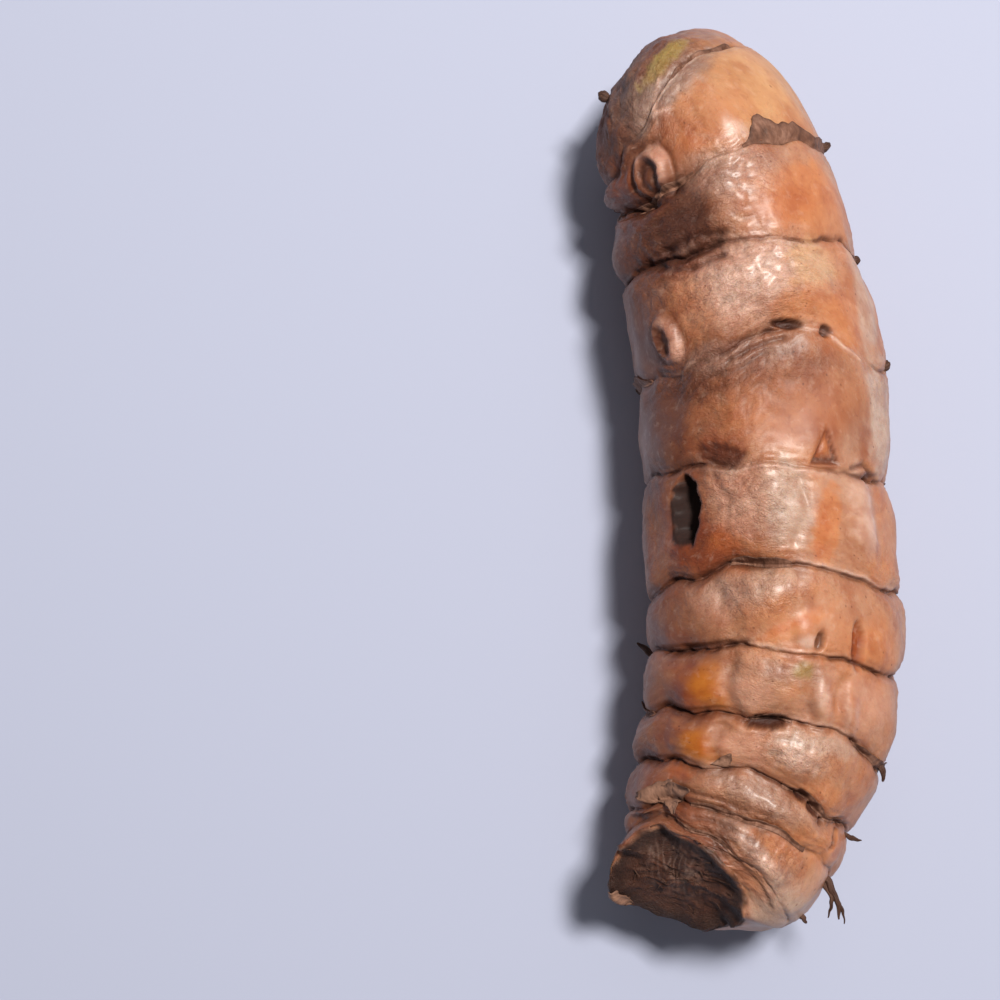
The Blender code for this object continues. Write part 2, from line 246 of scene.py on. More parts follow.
# how each leaf scar shows, by its number; the pale lip stands on the tip side, or below 0 on the other
scarMarks = {  # angle, soft fold, thin cut, darkening, pale lip
    1: ((-60, 0.2, 0.2, 0.6, 0), (-30, 0.15, 0.2, 0.5, 0), (10, 0.12, 0.15, 0.35, 0.2),
        (50, 0.1, 0.12, 0.3, 0), (85, 0.2, 0.3, 0.5, 0)),
    2: ((-60, 0.4, 0.45, 1, 0), (-34, 0.3, 0.45, 0.9, 0.1), (-12, 0.25, 0.45, 0.9, -0.3),
        (6, 0.22, 0.45, 0.8, -0.4), (24, 0.12, 0.25, 0.55, -0.3), (50, 0.06, 0.1, 0.25, 0),
        (85, 0.2, 0.3, 0.5, 0)),
    3: ((-60, 0.5, 0.5, 1, 0), (-36, 0.3, 0.4, 0.8, 0.1), (-22, 0.25, 0.35, 0.7, 0.5),
        (-8, 0.2, 0.4, 0.8, 0.3), (6, 0.2, 0.4, 0.7, -0.4), (18, 0.3, 0.5, 1, 0), (40, 0.3, 0.5, 1, 0),
        (56, 0.3, 0.5, 1, 0), (85, 0.3, 0.4, 0.6, 0)),
    4: ((-60, 0.6, 0.6, 1, 0), (-40, 0.5, 0.55, 1, 0), (-20, 0.35, 0.5, 0.9, 0), (-6, 0.35, 0.5, 1, 0),
        (6, 0.12, 0.35, 0.6, 0.6), (26, 0.15, 0.45, 0.7, 0.7), (44, 0.25, 0.5, 1, 0.2),
        (62, 0.3, 0.5, 1, 0), (90, 0.3, 0.5, 0.8, 0)),
    5: ((-60, 0.5, 0.6, 1, 0), (-40, 0.4, 0.6, 1, 0), (-20, 0.25, 0.5, 0.9, 0), (-14, 0.1, 0.15, 0.25, 0.6),
        (6, 0.05, 0.12, 0.2, 0.7), (12, 0.12, 0.3, 0.6, 0.2), (20, 0.12, 0.45, 0.8, 0.3),
        (36, 0.15, 0.5, 0.9, 0.1), (52, 0.2, 0.5, 0.9, 0), (80, 0.3, 0.5, 0.8, 0)),
    6: ((-60, 0.5, 0.6, 1, 0), (-38, 0.45, 0.55, 1, 0), (-20, 0.3, 0.5, 0.9, 0), (-10, 0.3, 0.4, 0.9, 0),
        (0, 0.2, 0.35, 0.8, 0.1), (6, 0.12, 0.35, 0.5, 0.8), (22, 0.12, 0.4, 0.6, 0.9),
        (44, 0.15, 0.4, 0.6, 0.9), (60, 0.2, 0.5, 0.8, 0.6), (85, 0.3, 0.5, 0.8, 0)),
    7: ((-60, 0.3, 0.4, 0.9, 0), (-38, 0.3, 0.4, 0.9, -0.2), (-26, 0.2, 0.25, 0.7, -0.6),
        (-12, 0.05, 0.2, 0.2, -1), (6, 0.04, 0.2, 0.2, -1), (16, 0.05, 0.15, 0.2, -0.6),
        (28, 0.1, 0.25, 0.6, -0.2), (36, 0.15, 0.5, 1, 0), (56, 0.15, 0.5, 1, 0.1),
        (75, 0.1, 0.25, 0.5, 0)),
    8: ((-60, 0.2, 0.2, 0.5, 0), (-40, 0.2, 0.1, 0.35, 0.3), (-18, 0.2, 0.12, 0.4, -0.5),
        (-6, 0.2, 0.3, 0.7, 0), (5, 0.25, 0.5, 1, 0), (14, 0.1, 0.3, 0.8, 0.2), (20, 0.03, 0.05, 0.1, 0.3),
        (44, 0.02, 0.02, 0, 0), (56, 0.03, 0.05, 0.1, 0), (76, 0.1, 0.3, 0.7, 0), (95, 0.3, 0.4, 0.8, 0)),
    9: ((-64, 0.5, 0.6, 1, 0), (-44, 0.55, 0.65, 1, 0), (-22, 0.45, 0.5, 0.9, 0), (-8, 0.15, 0.3, 0.5, 0.2),
        (10, 0.08, 0.3, 0.55, -0.4), (28, 0.08, 0.3, 0.6, -0.4), (40, 0.12, 0.35, 0.8, 0),
        (66, 0.2, 0.4, 1, 0), (90, 0.25, 0.4, 0.8, 0)),
    10: ((-64, 0.55, 0.7, 1, 0), (-40, 0.6, 0.7, 1, 0), (-26, 0.45, 0.5, 0.9, 0),
        (-12, 0.15, 0.2, 0.35, -0.7), (4, 0.1, 0.1, 0.1, -0.9), (12, 0.1, 0.2, 0.3, -0.4),
        (20, 0.12, 0.4, 0.8, 0), (60, 0.12, 0.4, 0.7, 0), (90, 0.2, 0.4, 0.7, 0)),
    11: ((-80, 0.15, 0.2, 0.4, 0), (-50, 0.1, 0.1, 0.2, 0), (-30, 0.05, 0.05, 0.1, -0.2),
        (-14, 0.08, 0.15, 0.3, -0.6), (4, 0.1, 0.4, 0.8, -0.7), (20, 0.12, 0.5, 1, -0.6),
        (48, 0.12, 0.5, 1, -0.3), (58, 0.06, 0.2, 0.5, 0), (70, 0, 0, 0.05, 0), (110, 0, 0, 0, 0)),
}
behind = (0.28, 0.4, 0.6, 0)
markTable = np.zeros((tipRing + 1, len(angles), 4))
for number, marks in scarMarks.items():
    stops = np.array(((-180, *behind), (-125, *behind)) + marks + ((140, *behind), (180, *behind)))
    for k in range(4):
        markTable[number, :, k] = np.interp(np.degrees(angles), stops[:, 0], stops[:, k + 1])
scarHere = markTable[nearest.astype(int), np.arange(len(angles))]
foldMark, cutMark, darkMark, lipMark = np.moveaxis(scarHere, -1, 0)

crinkle = 0.34 + 0.45 * grain(straight, 9, 3)
for at, turnRound, along, around in skin["smooth"]:
    crinkle = crinkle * (1 - 0.85 * spot(at, turnRound, along, around, soft=0.5))
for at, turnRound, along, around in skin["crinkled"]:
    crinkle = blend(crinkle, 1.0, 0.9 * spot(at, turnRound, along, around, soft=0.5, wobble=0.3))
crinkle = crinkle * (1 - 0.85 * spot(6.6, -48, 3.2, 2.0, 4, 0.3, 0))  # the sunken eye is smooth inside
crinkle = np.clip(crinkle, 0.04, 1)

isScar = place < 0
onBody = ease(-0.02, 0.02, place) * (1 - ease(tipRing, tipRing + 0.05, place))
bulge = np.array(root["swells"])[segment] * np.sin(math.pi * np.clip(within, 0, 1)) ** 0.6 * onBody
bulge = bulge * (1 - 0.35 * ease(0.2, 0.95, np.cos(angle)))  # flatter on top
# torn edges wander off the leaf scar
ragged = seam + 0.22 * grain(ringWay, 1.5, 15) + 0.13 * grain(ringWay, 0.6, 16)
dashes = 0.45 + 0.55 * ease(-0.35, 0.25, grain(ringWay, 1.1, 17))
fold = foldMark * (1 + 0.35 * grain(ringWay, 6, 5)) * np.exp(-((seam / skin["foldWide"]) ** 2))
cut = cutMark * dashes * np.exp(-((ragged / skin["cutWide"]) ** 2))
lipSide = np.where(lipMark < 0, -1, 1)
lipLine = np.abs(lipMark) * np.exp(-(((ragged - 0.34 * lipSide) / 0.24) ** 2)) * (0.5 + 0.5 * dashes)
step = np.abs(lipMark) * ease(-0.1, 0.3, seam * lipSide) * np.exp(-np.abs(seam) / 1.3)
lip = skin["lipHigh"] * lipLine + skin["stepHigh"] * step
pleats = np.cos(seam * 2 * math.pi / skin["pleatApart"] + 2.6 * grain(straight, 2.6, 8))
pleats = pleats * np.exp(-np.abs(seam) / 1.4) * (0.4 + 1.2 * foldMark)
lumps = grain(straight, 7.5, 11) + 0.62 * grain(straight, 3.6, 12)
bentWay = straight + 0.8 * np.stack([grain(straight, 3, seed) for seed in (21, 22, 23)], -1)
wrinkles = ridged(bentWay, (2.6, 1.3, 2.6), 31) ** 2 - ridged(bentWay, (1.7, 1.4, 1.7), 32) ** 2
wrinkles = 0.9 * wrinkles + 0.5 * grain(bentWay, 1.1, 33)
relief = bulge - fold - cut + lip + skin["pleatHigh"] * pleats + skin["lumps"] * lumps
relief = relief + skin["wrinkles"] * crinkle * wrinkles
relief = np.where(isScar, 0, relief)

growths = (  # height, place, angle, half length, half width, turn, softness, wobble
    # the bud on the crown: two steps up, a moat round it, a sunken eye and its heart
    (0.46, 10.28, -38, 2.6, 1.85, 22, 0.2, 0.05), (0.253, 10.28, -38, 2.1, 1.4, 22, 0.2, 0.05),
    (-0.3, 10.28, -38, 3.3, 2.55, 22, 0.12, 0.08), (0.3, 10.28, -38, 2.8, 2.05, 22, 0.12, 0.08),
    (-0.7, 10.28, -39.5, 1.8, 1.15, 22, 0.2, 0.15), (0.12, 10.26, -40, 0.9, 0.45, 22, 0.5, 0.12),
    # the bud on the flank: a step up, a moat round it and a slot
    (0.5, 8.33, -50, 2.4, 1.5, -8, 0.2, 0.05), (-0.22, 8.33, -50, 2.9, 1.75, -8, 0.15, 0.08),
    (0.22, 8.33, -50, 2.5, 1.4, -8, 0.12, 0.08), (-0.55, 8.31, -51.5, 1.55, 0.62, -8, 0.25, 0.15),
    # a low ridge in the sunken eye
    (0.4, 6.5, -45, 1.2, 0.4, 12, 0.5, 0.12),
)
for high, *where in growths:
    relief = relief + high * spot(*where)
eyePit = spot(6.62, -46.5, 3.0, 1.3, 4, 0.22, 0.22)
relief = relief - skin["eyeDeep"] * eyePit

# small crisp recesses
slit = spot(5.22, 34, 2.2, 0.75, -4, 0.2, 0.12)
notch = spot(5.18, 14, 0.9, 0.48, 10, 0.25, 0.15)
vee = wedge(7.05, 23, 3.4, 3.0, 4, 0.16)
veeHeart = wedge(7.12, 23, 2.0, 1.3, 4, 0.16)
relief = relief - 0.85 * slit - 0.65 * notch - 0.5 * vee + 0.25 * veeHeart

dents = (  # place, angle, half length, half width, depth, softness, turn if any
    (8.05, 8, 0.42, 1.3, 0.9, 0.3, 8), (8, 27, 0.55, 0.55, 0.7, 0.3), (7.12, -26, 1.1, 2.3, 0.4, 0.35, 10),
    (3.93, -7, 0.62, 1.8, 0.9, 0.35, -10), (2.98, 22, 0.42, 0.6, 0.8, 0.3, 30),
    (2.94, 31, 0.5, 0.7, 0.9, 0.3, 30), (2.9, 39, 0.4, 0.5, 0.6, 0.3), (2.62, 54, 1, 0.4, 0.6, 0.35, 10),
    (6, -14, 0.5, 1.9, 0.4, 0.4), (9.5, -28, 1.8, 2.6, 0.4, 0.6), (9.02, -40, 1, 4.5, 0.45, 0.5),
    (10, -48, 0.8, 3.5, 0.45, 0.5), (11.46, -48, 0.9, 0.5, 0.25, 0.5, 30), (7.02, 50, 0.5, 0.9, 0.4, 0.35),
    (5.9, 112, 0.9, 0.9, 0.5, 0.5), (8.1, 130, 0.8, 1, 0.5, 0.5), (4.1, 140, 0.7, 1.2, 0.5, 0.5),
    (7.1, -118, 0.8, 1.1, 0.5, 0.5), (9.1, -140, 0.7, 1, 0.5, 0.5), (4, -120, 0.8, 1.4, 0.5, 0.5),
    (2.1, 120, 0.6, 0.9, 0.4, 0.5), (10.1, 135, 0.8, 1.1, 0.5, 0.5),
)
pits = np.zeros(place.shape)
for i, (at, turnRound, along, around, deep, soft, *turned) in enumerate(dents):
    share = spot(at, turnRound, along, around, *turned, soft=soft, wobble=0.25, seed=i)
    relief = relief - deep * share
    pits = np.maximum(pits, share * min(1, deep * 1.3))
# low swellings that break up the barrels
mounds = (  # place, angle, half length, half width, height, turn if any
    (10.15, 10, 2, 2, 0.25), (9.72, 3, 3, 3.5, 0.3), (8.5, -6, 3.4, 5, 0.5, -15), (9.45, 30, 3, 4, 0.2),
    (6.62, 43, 4.6, 1.5, 0.55, -4), (6.85, -4, 2.2, 1.4, 0.35), (6.3, -6, 2.2, 3, 0.25, 20),
    (5.6, -12, 1.9, 3, 0.4, -20), (5.3, 8, 1.2, 1.2, 0.35), (5.25, 46, 2.2, 1.4, 0.3),
    (4.4, -36, 2, 2.4, 0.4), (4.5, 2, 2, 2.6, 0.35), (4.38, 17, 2.4, 1, 0.6, -14),
    (4.3, 31, 2, 0.9, 0.45, -10), (3.52, 12, 1.7, 2.4, 0.7, 10), (3.4, -38, 2, 2.4, 0.4),
    (2.5, 5, 1, 3.6, 0.45, 12), (1.42, 10, 1, 3.4, 0.6, 22), (3.2, 72, 3.4, 3.6, -0.55),
    (0.1, 168, 2.4, 4.4, -0.9), (2.45, -28, 1.2, 2.6, 0.3), (8.6, 26, 2.4, 2, 0.2),
)
for i, (at, turnRound, along, around, high, *turned) in enumerate(mounds):
    share = spot(at, turnRound, along, around, *turned, soft=0.7, wobble=0.15, seed=i + 40)
    relief = relief + high * share
folds = (  # cuts and folds, or raised lines where the depth is below 0: stops, width, depth, darkening
    (((9.02, -58), (8.9, -44), (8.84, -30), (8.88, -14)), 0.3, 0.5, 0.8),
    (((9.12, -44), (9.2, -28), (9.12, -10)), 0.35, 0.4, 0.9),
    (((7.06, 38), (7.12, 46), (7.02, 58)), 0.25, 0.4, 0.8),
    (((8.02, 13), (7.98, 20), (8, 27)), 0.16, -0.16, 0),
    (((8, 28), (7.94, 36), (7.92, 46)), 0.18, -0.18, 0),
    (((7.93, -20), (7.9, -6), (7.93, 6)), 0.25, 0.3, 0.5),
    (((7.84, -30), (7.8, -14), (7.84, -2)), 0.25, 0.25, 0.4),
    (((7.74, -34), (7.7, -20), (7.72, -8)), 0.25, 0.2, 0.3),
    (((4.78, -24), (4.4, -27), (4.08, -21)), 0.75, 0.45, 0.2),
    (((4.7, 12), (4.35, 9), (4.1, 14)), 0.7, 0.4, 0.12),
    (((4.72, 27), (4.4, 25), (4.1, 31)), 0.6, 0.3, 0.1),
    (((3.8, -26), (3.5, -29), (3.2, -25)), 0.7, 0.4, 0.2),
    (((5.85, -34), (5.55, -28), (5.2, -25)), 0.8, 0.35, 0.12),
    (((9, -54), (9.04, -42), (9.07, -28)), 0.42, -0.28, 0),
    (((6.9, -30), (6.7, -24), (6.35, -26)), 0.3, 0.2, 0.25),
    (((6.9, 10), (6.6, 12), (6.25, 4)), 0.5, 0.25, 0),
    (((11.58, -46), (11.44, -46), (11.32, -42)), 0.3, 0.3, 0.8),
    (((10.98, -22), (10.92, -36), (10.95, -50)), 0.35, 0.15, 0.3),
    (((10.62, -24), (10.72, -40), (10.68, -54)), 0.35, 0.22, 0.3),
    (((10.72, -8), (10.86, -16), (11.02, -10), (11.08, 0)), 0.2, -0.12, 0),
    (((2.4, -40), (2.3, -20), (2.2, -4)), 0.25, 0.3, 0.6),
    (((1.55, -30), (1.7, -10), (1.6, 6)), 0.25, 0.3, 0.5),
    (((0.6, -10), (0.62, 20), (0.7, 50)), 0.25, 0.25, 0.4),
    (((5.04, -52), (5.06, -36), (5.02, -20)), 0.3, 0.4, 0.8),
)
foldShare, paleLine = np.zeros(place.shape), np.zeros(place.shape)
for i, (stops, width, deep, darkening) in enumerate(folds):
    share = stroke(stops, width, seed=i)
    relief = relief - deep * share
    foldShare = np.maximum(foldShare, share * darkening)
    if deep < 0:
        paleLine = np.maximum(paleLine, share)

marks = {  # where rootlets came away, on the flanks and the belly
    "count": 30, "seed": 7, "places": (0.7, 10.8), "angles": (82, 278),
    "size": (0.30, 0.70), "rise": 0.12, "dip": 0.32,
}
scatter = np.random.default_rng(marks["seed"])
rootMarks, markHalos = np.zeros(place.shape), np.zeros(place.shape)
for i in range(marks["count"]):
    at, turnRound, across = (scatter.uniform(*marks[name]) for name in ("places", "angles", "size"))
    turnRound = (turnRound + 180) % 360 - 180
    heart = spot(at, turnRound, across, across * scatter.uniform(0.7, 1.3), soft=0.35, wobble=0.25, seed=i)
    halo = spot(at, turnRound, across * 2.0, across * 2.0, soft=0.5, wobble=0.25, seed=i + 9)
    relief = relief + marks["rise"] * halo - marks["dip"] * heart
    rootMarks, markHalos = np.maximum(rootMarks, heart), np.maximum(markHalos, halo)

# the broken face: torn fibres, a hollow heart and a ragged rim
tornLong = ridged(plain + 0.7 * grain(plain, 2, 61)[..., None], (2.6, 1.0, 1.6), 62)
torn = 0.16 * tornLong**1.5 + 0.26 * layered(plain, 1.8, 63)
torn = torn - 0.5 * ease(0.1, 0.9, 1 + place) * ease(0.0, 0.5, -place)
rimNoise = layered(ringWay, 2.4, 64)
nearRim = np.exp(-((place / 0.10) ** 2))
relief = np.where(isScar, blend(0, torn, ease(0, 0.25, -place)), relief) + nearRim * 0.42 * rimNoise
print("relief done", round(float(relief.min()), 2), round(float(relief.max()), 2))

surface = plain + outward * relief[..., None] + np.array(root["drawnOffset"])
chipped = spot(0.0, 135, 5, 5.5, soft=0.8, wobble=0)
surface[..., 1] += 0.9 * chipped  # the break is shorter underneath
surface[..., 2] = np.maximum(surface[..., 2], 0)  # the belly beds down on the table

def makeMesh(name, points, faces, material):
    mesh = bpy.data.meshes.new(name)
    mesh.from_pydata([tuple(p) for p in points], [], [tuple(int(i) for i in face) for face in faces])
    mesh.validate()
    mesh.shade_smooth()
    mesh.materials.append(material)
    piece = bpy.data.objects.new(name, mesh)
    bpy.context.scene.collection.objects.link(piece)
    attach(piece, "root")
    return piece

def store(piece, name, values):  # a number, a vector or a colour for each of its points
    values = np.asarray(values, np.float32)
    kinds = {1: ("FLOAT", "value"), 3: ("FLOAT_VECTOR", "vector"), 4: ("FLOAT_COLOR", "color")}
    kind, field = kinds[values.size // len(values)]
    piece.data.attributes.new(name, kind, "POINT").data.foreach_set(field, values.ravel())

def gridFaces(rows, cols, closed=True):
    i, j = np.meshgrid(np.arange(rows - 1), np.arange(cols if closed else cols - 1), indexing="ij")
    k = (j + 1) % cols
    corners = (i * cols + j, i * cols + k, (i + 1) * cols + k, (i + 1) * cols + j)
    return np.stack(corners, -1).reshape(-1, 4)

def capFaces(rows, cols):  # triangles from the first and last rows to one end point each
    ring = np.arange(cols)
    after, last = (ring + 1) % cols, (rows - 1) * cols
    first = [(b, a, rows * cols) for a, b in zip(ring, after)]
    return first + [(a, b, rows * cols + 1) for a, b in zip(last + ring, last + after)]

def skinAt(at, turnRound):  # a point of the finished skin and its outward way; turnRound in radians
    turnRound = (turnRound + math.pi) % (2 * math.pi) - math.pi
    row = np.interp(at, rowPlaces, np.arange(len(rowPlaces)))
    col = np.interp(turnRound, np.append(angles, math.pi), np.arange(len(angles) + 1))
    i, j = np.minimum(row.astype(int), len(rowPlaces) - 2), col.astype(int) % len(angles)
    f, g = (row - i)[..., None], (col - np.floor(col))[..., None]
    k = (j + 1) % len(angles)
    def pick(grid):
        one, other = (grid[i, c] * (1 - f) + grid[i + 1, c] * f for c in (j, k))
        return one * (1 - g) + other * g
    out = pick(outward)
    return pick(surface), out / np.linalg.norm(out, axis=-1)[..., None]

# colour of the skin, painted by place
shades = {  # linear
    "tan": (0.47, 0.22, 0.122), "orange": (0.56, 0.215, 0.085), "deepOrange": (0.5, 0.135, 0.032),
    "amber": (0.5, 0.15, 0.012), "cream": (0.66, 0.36, 0.165), "greyCream": (0.55, 0.4, 0.32),
    "brown": (0.225, 0.075, 0.034), "darkBrown": (0.085, 0.025, 0.012), "bark": (0.135, 0.066, 0.046),
    "rust": (0.25, 0.052, 0.013), "greyBrown": (0.225, 0.14, 0.108), "green": (0.33, 0.225, 0.062),
    "pink": (0.6, 0.325, 0.235), "pale": (0.7, 0.47, 0.375), "soot": (0.03, 0.011, 0.007),
    "wood": (0.075, 0.027, 0.016), "dust": (0.36, 0.235, 0.19),
}
shades = {name: np.array(value) for name, value in shades.items()}
tint = np.zeros(place.shape + (3,)) + shades["tan"]

def wash(shade, share):
    global tint
    tint = blend(tint, shades[shade], np.clip(share, 0, 1)[..., None])

def arc(low, high, onLeft):  # eases in between two angles in degrees
    return ease(math.radians(low), math.radians(high), onLeft)

wash("orange", 0.7 * ease(-0.25, 0.5, layered(straight, 10, 101)))
wash("greyCream", 0.35 * ease(0.1, 0.7, layered(straight, 8, 102)))
wash("brown", 0.55 * ease(0.05, 0.6, layered(straight, 9, 103)) * crinkle)
belly = ease(0.2, 0.9, -np.cos(angle))
wash("brown", 0.35 * belly * ease(-0.4, 0.5, layered(straight, 5, 104)))
skinOnly = 1 - isScar
# the left flank painted brown, rust and dark brown: partly brown skin, partly painted shade
brownAndShadeSide = arc(14, 48, -angle) * (1 - arc(95, 140, -angle))
wash("brown", 0.85 * brownAndShadeSide * (0.75 + 0.5 * layered(straight, 4, 105)) * skinOnly)
wash("rust", 0.35 * brownAndShadeSide * ease(-0.2, 0.5, layered(straight, 3, 106)) * skinOnly)
deeperBrownAndShade = arc(30, 62, -angle) * ease(6.3, 7.2, place) * (1 - ease(10.1, 10.6, place))
wash("darkBrown", 0.42 * deeperBrownAndShade * brownAndShadeSide * (0.8 + 0.5 * layered(straight, 5, 108)))
